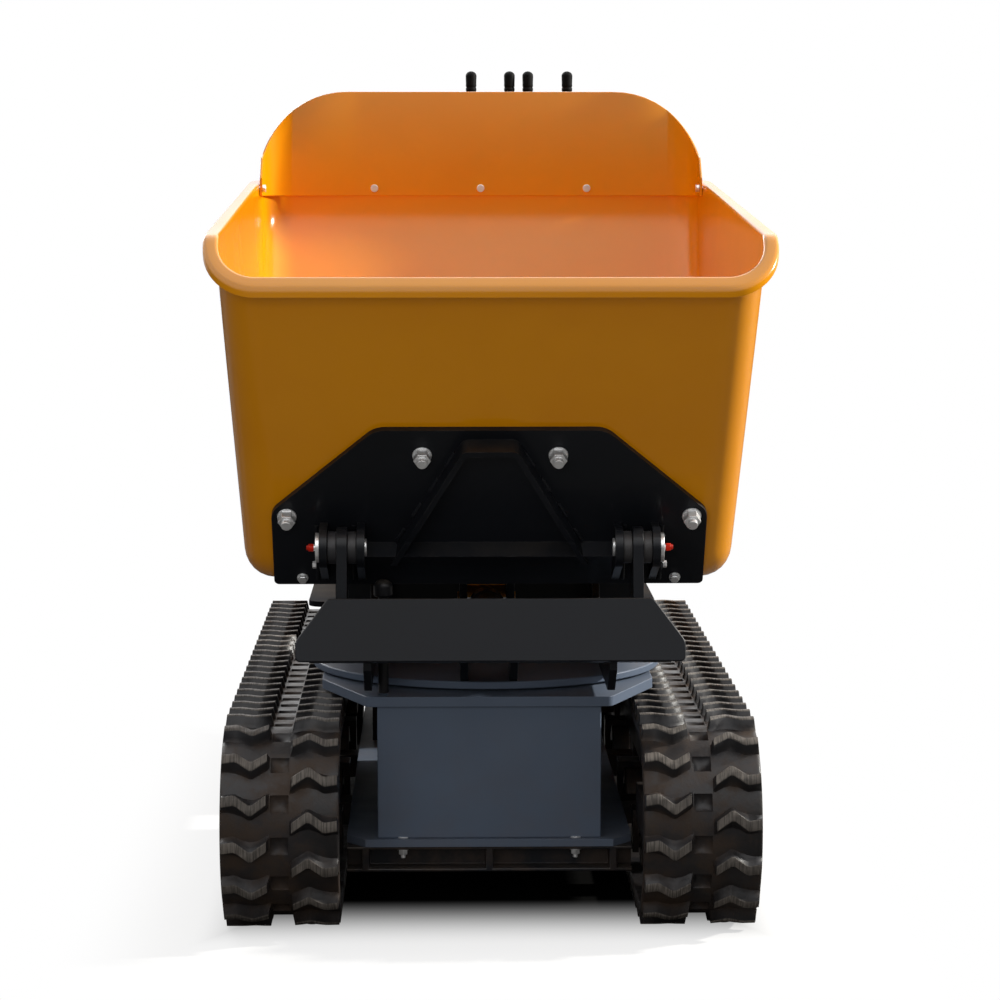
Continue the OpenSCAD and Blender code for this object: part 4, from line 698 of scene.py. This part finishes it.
def shell_section():
    """The sheet's section from the inner floor over the rim to the outer floor: (share, offset, drop)."""
    fillet = FLOOR_FILLET / FRONT_HEIGHT
    out = SHEET + FLANGE
    back = out - SHEET
    bend = FLANGE_BEND
    floor = [(fillet * (1 - cos(a)), -FLOOR_FILLET * (1 - sin(a)), 0) for a in QUARTER_TURN]
    inner_bend = [(1, bend * (1 - cos(a)), bend * (1 - sin(a))) for a in QUARTER_TURN]
    outer_bend = [(1, out - bend + bend * sin(a), bend * (1 - cos(a))) for a in QUARTER_TURN]
    lip = [(1, out, LIP - SHEET_ROUND), (1, out - SHEET_ROUND, LIP),
           (1, back + SHEET_ROUND, LIP), (1, back, LIP - SHEET_ROUND)]
    under = [(1, back, SHEET + FLANGE_INNER_BEND), (1, back - FLANGE_INNER_BEND, SHEET),
             (1, SHEET + bend, SHEET), (1, SHEET, SHEET + bend)]
    outer_floor = [(fillet * (1 - cos(a)), SHEET - FLOOR_FILLET * (1 - sin(a)), SHEET * cos(a))
                   for a in reversed(QUARTER_TURN)]
    inner_wall = [(share, 0, 0) for share in WALL_SHARES]
    outer_wall = [(share, SHEET, 0) for share in reversed(WALL_SHARES)]
    return floor + inner_wall + inner_bend + outer_bend + lip + under + outer_wall + outer_floor


skip_rings = [shell_ring(*step) for step in shell_section()]
piece("skip_sheet", loft(skip_rings), "skip_paint", "skip", ("skip_shell",), sharp=30)


# Lugs under the skip for the rod's cross pin

ROD_SETBACK = 338
ROD_DROP = 126
ROD_PIVOT = (HINGE.y + ROD_SETBACK, HINGE.z - ROD_DROP)
SLOT_END = (-10.5, -20.8)
SLOT_RADIUS = 16
ROD_LUG_X = 39
ROD_LUG_SHEET = 12
ROD_LUG_ROUND = 1.0
ROD_LUG_BITE = 0.5
BELOW_SLOT = 30
STANDING_ACROSS_X = Matrix(((0, 0, 1, 0), (1, 0, 0, 0), (0, 1, 0, 0), (0, 0, 0, 1)))


def rod_lug():
    """One lug in its own plane, seen along X and measured from the rod's pivot, with its slot."""
    top = FLOOR_Z - SHEET + ROD_LUG_BITE - ROD_PIVOT[1]
    end_y, end_z = SLOT_END
    low = end_z - BELOW_SLOT
    outline = [(-60, top), (-44, -8), (end_y - 18, low), (end_y + 14, low), (30, -14), (46, top)]
    along = atan2(end_z, end_y)
    half_turn = [along + radians(12 * k - 90) for k in range(16)]
    slot = [(end_y + SLOT_RADIUS * cos(a), end_z + SLOT_RADIUS * sin(a)) for a in half_turn]
    slot += [(SLOT_RADIUS * cos(a + pi), SLOT_RADIUS * sin(a + pi)) for a in half_turn]
    return cut_plate([outline, slot], ROD_LUG_SHEET, ROD_LUG_ROUND)


rod_lugs = [moved(rod_lug(), Matrix.Translation((x, *ROD_PIVOT)) @ STANDING_ACROSS_X)
            for x in (-ROD_LUG_X, ROD_LUG_X)]
piece("rod_lugs", joined(*rod_lugs), "frame_paint", "skip")


# Rear hood, bolted inside the skip's rear rim

HOOD_OVERLAP = 30
HOOD_RISE = 192
HOOD_SHEET = 4
HOOD_GAP = 0.4
HOOD_SIDE_GAP = 1.4
HOOD_CORNER = 160
HOOD_CORNER_OUT = 5
HOOD_CREASE = 227
CREASE_HALF = 2
CREASE_SLOPE = 0.06
WING_LENGTH = 45
WING_STEPS = 9
WING_TOE = 44
WING_RUN = 70
WING_RISE = 71
EDGE_ROUND = 1.6
EDGE_CHAMFER = 0.5
FOOT_CHAMFER = 1
HOOD_LOW = REAR_RIM_Z - HOOD_OVERLAP
HOOD_HIGH = HOOD_LOW + HOOD_RISE
HOOD_REAR = REAR_WALL_Y - HOOD_GAP
HOOD_HALF = RIM_HALF - HOOD_SIDE_GAP
HOOD_FRONT = HOOD_REAR - CORNER - WING_LENGTH
HOOD_PLACES = (325, 305, 285, 265, 245, HOOD_CREASE + CREASE_HALF, HOOD_CREASE - CREASE_HALF, 150, 75)


def hood_top(x, y):
    """Height of the hood's edge: large round top corners, and wings that fall away to the front."""
    inward = min(HOOD_HALF + HOOD_CORNER_OUT - abs(x), HOOD_CORNER)
    top = HOOD_HIGH - HOOD_CORNER + sqrt(HOOD_CORNER ** 2 - (HOOD_CORNER - inward) ** 2)
    if y < HOOD_FRONT + WING_RUN:
        top = min(top, HOOD_LOW + WING_TOE + (y - HOOD_FRONT) * WING_RISE / WING_RUN)
    return top


def hood_plan():
    """The hood's outline from the right wing to the left one, with a soft crease on each side."""
    r = CORNER - HOOD_GAP
    corner = [radians(6 * k) for k in range(16)]
    right = [(HOOD_HALF, HOOD_FRONT + WING_LENGTH * k / WING_STEPS) for k in range(WING_STEPS)]
    right += [(HOOD_HALF - r + r * cos(a), HOOD_REAR - r + r * sin(a)) for a in corner]
    right += [(x, HOOD_REAR) for x in HOOD_PLACES]
    whole = right + [(0, HOOD_REAR)] + [(-x, y) for x, y in reversed(right)]
    return [(x, y - CREASE_SLOPE * max(abs(x) - HOOD_CREASE, 0)) for x, y in whole]


def hood_rings():
    """Sections of the sheet along the hood's outline, with a rounded upper edge."""
    plan = hood_plan()
    foot = HOOD_LOW + FOOT_CHAMFER
    rings = []
    for k, (x, y) in enumerate(plan):
        x0, y0 = plan[max(k - 1, 0)]
        x1, y1 = plan[min(k + 1, len(plan) - 1)]
        length = hypot(x1 - x0, y1 - y0)
        inward = ((y0 - y1) / length, (x1 - x0) / length)
        top = hood_top(x, y)
        outside = [(0, foot), (0, top - EDGE_ROUND), (EDGE_CHAMFER, top - EDGE_CHAMFER), (EDGE_ROUND, top)]
        inside = [(HOOD_SHEET - depth, z) for depth, z in reversed(outside)]
        section = outside + inside + [(HOOD_SHEET - FOOT_CHAMFER, HOOD_LOW), (FOOT_CHAMFER, HOOD_LOW)]
        rings.append([(x + depth * inward[0], y + depth * inward[1], z) for depth, z in section])
    return rings


piece("hood_sheet", loft(hood_rings()), "skip_paint", "skip", ("rear_hood",), sharp=30)


# Rubber tracks: a belt with pockets down its middle, zigzag lugs outside and guide horns inside

TRACK_PITCH = 60
TRACK_LINKS = 58
BELT_FACE = 146
BELT_MIDDLE = 137
BELT_STEPS = [-15, -7, 2, 3.5, 15, 26.5, 28, 37]
POCKET_ROWS = (3, 4, 5)
POCKET_DEEP = -9.5
POCKET_SIDE = -3.5
BELT_OUTSIDE = [
    (12.5, 0), (14, 0), (15, 0), (36, 0), (60, 0), (84, 0), (87.5, -0.5), (89.2, -2), (90, -5)]
BELT_INSIDE = [(90, -14), (88, -17.3), (84, -18), (36, -18)]
LUG_HEIGHT = 17
LUG_LENGTH = 73.8
LUG_START = 89.4
OUTER_BEND = 0.3
INNER_BEND = 0.62
LUG_BEND = [(0, 0), (OUTER_BEND, 3), (INNER_BEND, -12), (1, 5)]
LUG_SHARES = (0, 0.03, 0.15, 0.27, 0.33, 0.45, 0.585, 0.655, 0.8, 0.95, 1)
LUG_END_HEIGHT = 0.04
BEND_FILL = 6
BEND_BACK = 5
BEND_REACH = 0.2
LUG_ROWS = ((0.25, 1), (0.75, -1))
HORN_ROW = 0.25
HORN_FOOT = [(16, -15), (34, -15), (34, 15), (16, 15)]
HORN_HEAD = [(21, -7), (31, -7), (31, 7), (21, 7)]
HORN_NECK_SHARE = 0.8
HORN_HEIGHTS = (-17.5, -27, -35)
SOIL_DEPTH = 8
INNER_FACE = -12
INNER_SOIL = 0.3


def mirrored(outline):
    """The other half of an outline, in the order that carries it on."""
    return [(-across, height) for across, height in reversed(outline)]


BELT_SECTION = mirrored(BELT_OUTSIDE) + [(0, 0)] + BELT_OUTSIDE + BELT_INSIDE + mirrored(BELT_INSIDE)


class Track:
    """Points of one track from its two axles, each with its height over the belt's outer face."""

    def __init__(self, front, rear):
        self.front, self.rear = front, rear
        self.points, self.faces, self.heights = [], [], []

    def place(self, across, along, height):
        """A point across the track, along its loop from the front of the top run and out from its face."""
        run = self.rear.y - self.front.y
        arc = pi * BELT_MIDDLE
        r = BELT_FACE + height
        along %= TRACK_PITCH * TRACK_LINKS
        x, z = self.front.x + across, self.front.z
        if along < run:
            return (x, self.front.y + along, z + r)
        if along < run + arc:
            turn = (along - run) / BELT_MIDDLE
            return (x, self.rear.y + r * sin(turn), z + r * cos(turn))
        if along < 2 * run + arc:
            return (x, self.rear.y - (along - run - arc), z - r)
        turn = (along - 2 * run - arc) / BELT_MIDDLE
        return (x, self.front.y - r * sin(turn), z - r * cos(turn))

    def add(self, places, faces):
        start = len(self.points)
        self.points += [self.place(*place) for place in places]
        self.heights += [place[2] for place in places]
        self.faces += [[start + index for index in face] for face in faces]

    def add_belt(self):
        """The belt as rows of its section, with a four-sided pocket in each link."""
        columns = len(BELT_SECTION)
        rows = TRACK_LINKS * len(BELT_STEPS)
        middle = BELT_SECTION.index((0, 0))
        places, faces = [], []
        for row in range(rows):
            link, step = divmod(row, len(BELT_STEPS))
            for column, (across, height) in enumerate(BELT_SECTION):
                if step in POCKET_ROWS and abs(column - middle) < 2:
                    deepest = step == POCKET_ROWS[1] and column == middle
                    height = POCKET_DEEP if deepest else POCKET_SIDE
                places.append((across, link * TRACK_PITCH + BELT_STEPS[step], height))
            start, below = row * columns, (row + 1) % rows * columns
            for column in range(columns):
                side = (column + 1) % columns
                face = [start + column, start + side, below + side, below + column]
                if step in POCKET_ROWS[:2] and column in (middle - 1, middle):
                    turn = 0 if (step == POCKET_ROWS[0]) == (column == middle - 1) else 1
                    a, b, c, d = face[turn:] + face[:turn]
                    faces += [[a, b, c], [a, c, d]]
                else:
                    faces.append(face)
        self.add(places, faces)

    def add_lug(self, along, mirror):
        """One zigzag lug, from the track's edge to the pockets; its bends are filled at the foot."""
        rings = []
        for share in LUG_SHARES:
            pairs = zip(LUG_BEND, LUG_BEND[1:])
            (a, low), (b, high) = next(pair for pair in pairs if pair[0][0] <= share <= pair[1][0])
            middle = low + (high - low) * (share - a) / (b - a)
            fill = BEND_FILL * max(0, 1 - abs(share - INNER_BEND) / BEND_REACH)
            back = BEND_BACK * max(0, 1 - abs(share - OUTER_BEND) / BEND_REACH)
            full = LUG_END_HEIGHT if share in (0, 1) else 1
            section = [(-13 - back, -1), (-9.2 - back * 0.4, 5), (-6.9, 15.7), (-5.6, LUG_HEIGHT),
                       (5.6, LUG_HEIGHT), (6.9, 15.7), (9.2 + fill * 0.4, 5), (13 + fill, -1)]
            across = mirror * (share * LUG_LENGTH - LUG_START)
            ring = [(across, along + mirror * (middle + lead), height * full) for lead, height in section]
            rings.append(ring)
        self.add(*loft(rings))

    def add_horns(self, along):
        """A pair of guide horns, on each side of the wheels' flange."""
        neck = [(across, lead * HORN_NECK_SHARE) for across, lead in HORN_FOOT]
        for side in (-1, 1):
            rings = []
            for outline, height in zip((HORN_FOOT, neck, HORN_HEAD), HORN_HEIGHTS):
                rings.append([(side * across, along + lead, height) for across, lead in outline])
            self.add(*loft(rings))


def soil_share(height):
    """How much soil lies at a height over the belt's outer face."""
    return min(max(1 - height / SOIL_DEPTH, 0), 1) if height > INNER_FACE else INNER_SOIL


def make_track(side):
    """One track as a piece, with its worn crests and its soil as values at its points."""
    track = Track(joint_place("idler_turn_" + side), joint_place("drive_" + side))
    track.add_belt()
    for link in range(TRACK_LINKS):
        for row, mirror in LUG_ROWS:
            track.add_lug((link + row) * TRACK_PITCH, mirror)
        track.add_horns((link + HORN_ROW) * TRACK_PITCH)
    shape = (track.points, track.faces)
    made = piece("track_" + side, shape, "track_rubber", "root", ("rubber_track_" + side,), sharp=48)
    crest = made.data.attributes.new("crest", "FLOAT", "POINT")
    crest.data.foreach_set("value", [min(max(height / LUG_HEIGHT, 0), 1) for height in track.heights])
    low = made.data.attributes.new("low", "FLOAT", "POINT")
    low.data.foreach_set("value", [soil_share(height) for height in track.heights])


make_track("left")
make_track("right")


# Welded seams and small bolts on the hinge plate

PLATE = 10
WALL_LOW = Vector((0, FLOOR_FRONT - SHEET, FLOOR_Z))
WALL_HIGH = Vector((0, FRONT_RIM_Y - SHEET, FRONT_RIM_Z - SHEET * tan(RIM_STEEP)))
WALL_UP = (WALL_HIGH - WALL_LOW).normalized()
WALL_OUT = Vector((1, 0, 0)).cross(WALL_UP)
# Places on the wall are (across, up); the pin bolts are measured from the tip hinge
RIB_FOOT = (154, 62)
RIB_PEAK = (42, 274)
RIB_SEAMS = (1.5, -11.5)
RIB_PEAK_CLOSING = 0.7
RIB_STITCH = 30
RIB_STITCH_GAP = 26
RIB_WELD = 3.2
EAR_SEAMS = (197, 211, 255, 269)
EAR_LOW = 4
EAR_HIGH = 114
EAR_WELD = 3.0
PLATE_BOLT = (293, 8)
PIN_BOLT = (268, 4, -27)


def on_wall(across, up, out):
    """A point on the front wall: across it, up it and out from it."""
    return WALL_LOW + across * Vector((1, 0, 0)) + up * WALL_UP + out * WALL_OUT


plate_welds = []
for side in (-1, 1):
    for inset in RIB_SEAMS:
        foot = on_wall(side * (RIB_FOOT[0] + inset), RIB_FOOT[1], PLATE)
        peak = on_wall(side * (RIB_PEAK[0] + inset * RIB_PEAK_CLOSING), RIB_PEAK[1] + inset, PLATE)
        plate_welds += stitches(foot, peak, RIB_STITCH, RIB_STITCH_GAP, RIB_WELD)
    for x in EAR_SEAMS:
        low, high = on_wall(side * x, EAR_LOW, PLATE), on_wall(side * x, EAR_HIGH, PLATE)
        plate_welds.append(weld_bead(low, high, EAR_WELD))
piece("plate_welds", joined(*plate_welds), "frame_paint", "skip")

plate_bolts = []
for side in (-1, 1):
    place = on_wall(side * PLATE_BOLT[0], PLATE_BOLT[1], PLATE + WASHER)
    plate_bolts.append(hex_head(place, WALL_OUT, across=13, height=6, washer=9))
for side in (-1, 1):
    place = (side * PIN_BOLT[0], HINGE.y + PIN_BOLT[1], HINGE.z + PIN_BOLT[2])
    plate_bolts.append(hex_head(place, (side, 0, 0), across=10, height=6))
piece("plate_bolts", joined(*plate_bolts), "zinc", "skip")


# Bolts that hold the base plate down on the front beam

BASE_LOW, BASE_HIGH = corners("chassis_base_plate")
BEAM_BOLT_X = 136
BEAM_BOLT_INSET = 18
BEAM_FLANGE = 5
BOLT_END = [(0.3, 0), (4, 0), (4, 13), (3, 14), (0.3, 14)]
beam_bolts = []
for side in (-1, 1):
    x, y = side * BEAM_BOLT_X, BASE_LOW.y + BEAM_BOLT_INSET
    head = (x, y, BASE_HIGH.z + WASHER)
    nut = (x, y, BASE_LOW.z - BEAM_FLANGE - WASHER)
    beam_bolts.append(hex_head(head, (0, 0, 1), across=13, height=7, washer=11))
    beam_bolts.append(hex_head(nut, (0, 0, -1), across=13, height=8, washer=11))
    beam_bolts.append(lathe(BOLT_END, nut, (0, 0, -1), 20))
piece("beam_bolts", joined(*beam_bolts), "zinc", "root")


# Bolts of the sprocket hubs and along the foot of the cowl

HUB_FACE = 360
HUB_BOLT_RING = 54
HUB_BOLT_ANGLES = [radians(60 * k + 30) for k in range(6)]
COWL_LOW, COWL_HIGH = corners("cowl_shell")
COWL_BOLT_RISE = 24
COWL_BOLT_SHARES = (0.12, 0.5, 0.88)
for side, sign in (("left", -1), ("right", 1)):
    outward = (sign, 0, 0)
    axle = joint_place("drive_" + side)
    hub_bolts = []
    for a in HUB_BOLT_ANGLES:
        y, z = axle.y + HUB_BOLT_RING * cos(a), axle.z + HUB_BOLT_RING * sin(a)
        place = (sign * (HUB_FACE + WASHER), y, z)
        hub_bolts.append(hex_head(place, outward, across=17, height=9, washer=14))
    piece("hub_bolts_" + side, joined(*hub_bolts), "zinc", "sprocket_" + side)
    cowl_face = COWL_HIGH.x if sign > 0 else COWL_LOW.x
    cowl_bolts = []
    for share in COWL_BOLT_SHARES:
        y = COWL_LOW.y + share * (COWL_HIGH.y - COWL_LOW.y)
        place = (cowl_face + sign * WASHER, y, COWL_LOW.z + COWL_BOLT_RISE)
        cowl_bolts.append(hex_head(place, outward, across=13, height=6, washer=11))
    piece("cowl_bolts_" + side, joined(*cowl_bolts), "zinc", "root")


# Grips and rubber boots of the control levers

LEVERS = {
    "slew_lever_grip": ("slew_control", "slew_lever_tilt"),
    "travel_grip_left": ("travel_control_left", "travel_lever_left_tilt"),
    "travel_grip_right": ("travel_control_right", "travel_lever_right_tilt"),
    "tip_lever_grip": ("tip_control", "tip_lever_tilt"),
}
GRIP_RINGS = 9
GRIP_RING_START = 10
GRIP_RING_PITCH = 8.5
GRIP_DOME = 0.85
CONSOLE_TOP = corners("control_console")[1].z
BOOT_FOOT = (15, 31)
BOOT_NECK = (8, 8.5)
BOOT_HEIGHT = 44
BOOT_LIFT = 0.5
BOOT_TAPER = 0.8
BOOT_FOLDS = 5
BOOT_FOLD_DEPTH = 1.8
BOOT_FOLD_STEPS = 4
BOOT_SIDES = 32


def grip(node, body):
    """A moulded grip with finger rings and a domed top."""
    low, high = corners(node)
    centre = ((low.x + high.x) / 2, (low.y + high.y) / 2, low.z)
    r, length = (high.x - low.x) / 2, high.z - low.z
    profile = [(r - 4, 0), (r - 0.6, 0.6), (r, 2), (r, 6), (r - 1.2, 7.5)]
    for k in range(GRIP_RINGS):
        z = GRIP_RING_START + k * GRIP_RING_PITCH
        profile += [(r - 1.4, z), (r - 0.5, z + 1.6), (r - 0.3, z + 4.2), (r - 0.5, z + 6.8)]
    dome = r * GRIP_DOME
    profile += [(max(r * cos(a), 0.3), length - dome + dome * sin(a)) for a in QUARTER_TURN]
    shape = lathe(profile, centre, (0, 0, 1), 32)
    piece(node + "_moulded", shape, "grip_rubber", body, (node,), sharp=60)


def boot(name, joint):
    """A folded rubber boot from the console's top up to the lever."""
    centre = joint_place(joint)
    angles = [2 * pi * j / BOOT_SIDES for j in range(BOOT_SIDES)]
    steps = BOOT_FOLD_STEPS * BOOT_FOLDS
    rings = []
    for k in range(steps + 1):
        share = k / steps
        fold = BOOT_FOLD_DEPTH * sin(2 * pi * k / BOOT_FOLD_STEPS) * (1 - 0.5 * share)
        taper = share ** BOOT_TAPER
        half_x = BOOT_FOOT[0] + (BOOT_NECK[0] - BOOT_FOOT[0]) * taper + fold
        half_y = BOOT_FOOT[1] + (BOOT_NECK[1] - BOOT_FOOT[1]) * taper + fold
        z = CONSOLE_TOP + BOOT_LIFT + BOOT_HEIGHT * share
        rings.append([(centre.x + half_x * cos(a), centre.y + half_y * sin(a), z) for a in angles])
    rim = [(x, centre.y + (y - centre.y) * 1.06, z - 0.4) for x, y, z in rings[0]]
    made = piece(name, loft([rim] + rings), "grip_rubber", None, sharp=70)
    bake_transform(made)


for node, (body, joint) in LEVERS.items():
    grip(node, body)
    boot(joint.replace("_tilt", "_boot"), joint)


# Stage and light, in metres

# The machine's footprint on the floor, under which shade is painted
FOOTPRINT_MIDDLE = (0.0, -0.1685, 0.0)
FOOTPRINT_SHARE = (1 / 0.41, 1 / 0.72, 0.0)
STUDIO_HALF = 14.0
WHITE = (1, 1, 1, 1)
# Painted shade: the floor's nearly black colour under the machine
PAINTED_SHADE_UNDER = (0.006, 0.006, 0.006, 1)
STUDIO_NEAR = (0.25, 0.25, 0.25, 1)
STUDIO_TO_LIGHT = (0.13, 0.125, 0.12, 1)
STUDIO_TO_GLOSS = (0.17, 0.17, 0.17, 1)


def floor_finish():
    """A floor that is white to the eye, keeps the shadow, has painted shade under the machine and sends up
    little light.
    """
    material = bpy.data.materials.new("studio_floor")
    material.use_nodes = True
    graph = Graph(material.node_tree)
    path = graph.add("ShaderNodeLightPath").outputs
    seen = graph.sum(path["Is Camera Ray"], path["Is Transmission Ray"])
    spot = graph.vector("SUBTRACT", graph.place(), FOOTPRINT_MIDDLE)
    spot = graph.vector("ABSOLUTE", graph.vector("MULTIPLY", spot, FOOTPRINT_SHARE))
    spot = graph.add("ShaderNodeSeparateXYZ", {0: spot}).outputs
    away = graph.add("ShaderNodeMath", {0: spot[0], 1: spot[1]}, operation="MAXIMUM").outputs[0]
    # Painted shade: inside the footprint the floor's colour turns nearly black and its glow fades to
    # nothing
    tone = graph.mix(graph.between(away, 0.78, 1.0), PAINTED_SHADE_UNDER, STUDIO_NEAR)
    pale = graph.add("ShaderNodeBsdfDiffuse", {"Color": tone}).outputs[0]
    strength = graph.spread(graph.between(away, 0.7, 1.12), 0.0, 0.78)
    glow = graph.add("ShaderNodeEmission", {"Color": WHITE, "Strength": strength}).outputs[0]
    near = graph.add("ShaderNodeAddShader", {0: pale, 1: glow}).outputs[0]
    plain = graph.add("ShaderNodeEmission", {"Color": WHITE, "Strength": 1.0}).outputs[0]
    distant = graph.between(away, 1.05, 1.6)
    white = graph.add("ShaderNodeMixShader", {0: distant, 1: near, 2: plain}).outputs[0]
    tone = graph.mix(path["Is Glossy Ray"], STUDIO_TO_LIGHT, STUDIO_TO_GLOSS)
    grey = graph.add("ShaderNodeBsdfDiffuse", {"Color": tone}).outputs[0]
    both = graph.add("ShaderNodeMixShader", {0: seen, 1: grey, 2: white}).outputs[0]
    graph.add("ShaderNodeOutputMaterial", {"Surface": both})
    return material


def make_floor():
    """A square floor that goes with the stage, not with the part."""
    far = STUDIO_HALF
    mesh = bpy.data.meshes.new("studio_floor")
    mesh.from_pydata([(-far, -far, 0), (far, -far, 0), (far, far, 0), (-far, far, 0)], [], [[0, 1, 2, 3]])
    mesh.materials.append(floor_finish())
    floor = bpy.data.objects.new("studio_floor", mesh)
    scene.collection.objects.link(floor)


def make_world():
    """White to the eye; for the object a sky, bright overhead and behind it and dim at the horizon."""
    world = bpy.data.worlds.new("studio")
    world.use_nodes = True
    scene.world = world
    graph = Graph(world.node_tree)
    path = graph.add("ShaderNodeLightPath").outputs
    aim = graph.add("ShaderNodeSeparateXYZ", {0: graph.place("Generated")}).outputs
    overhead = graph.between(aim[2], 0.05, 0.75)
    behind = graph.between(aim[1], 0.2, 0.9)
    gloss = graph.sum(graph.spread(overhead, 0.1, 2.6), graph.times(behind, 1.2), clamp=False)
    ambient = graph.spread(overhead, 0.14, 0.4)
    strength = graph.add("ShaderNodeMix", {0: path["Is Glossy Ray"], 2: ambient, 3: gloss}).outputs[0]
    seen = graph.sum(path["Is Camera Ray"], path["Is Transmission Ray"])
    strength = graph.add("ShaderNodeMix", {0: seen, 2: strength, 3: 1.0}).outputs[0]
    background = graph.add("ShaderNodeBackground", {"Color": WHITE, "Strength": strength})
    graph.add("ShaderNodeOutputWorld", {"Surface": background.outputs[0]})


def soft_light(name, place, target, size, power, colour, in_gloss=True):
    """A square lamp that looks at a target; it may be kept out of glossy reflections."""
    lamp = bpy.data.lights.new(name, "AREA")
    lamp.shape = "SQUARE"
    lamp.size = size
    lamp.energy = power
    lamp.color = colour
    lamp_object = bpy.data.objects.new(name, lamp)
    lamp_object.location = place
    lamp_object.visible_glossy = in_gloss
    lamp_object.rotation_euler = (Vector(target) - Vector(place)).to_track_quat("-Z", "Y").to_euler()
    scene.collection.objects.link(lamp_object)


make_floor()
make_world()
soft_light("key_light", (5.58, 0.34, 3.2), (0.0, -0.3, 0.5), size=0.3, power=640, colour=(1.0, 0.97, 0.9))
soft_light(
    "fill_light", (-1.2, -6.2, 0.9), (0.0, 0.0, 0.7), size=4.0, power=95, colour=(1.0, 0.98, 0.95),
    in_gloss=False)
soft_light("rear_light", (-2.6, 4.2, 3.4), (0.0, 0.3, 0.6), size=2.4, power=120, colour=(1.0, 1.0, 1.0))
scene.view_settings.view_transform = "Standard"
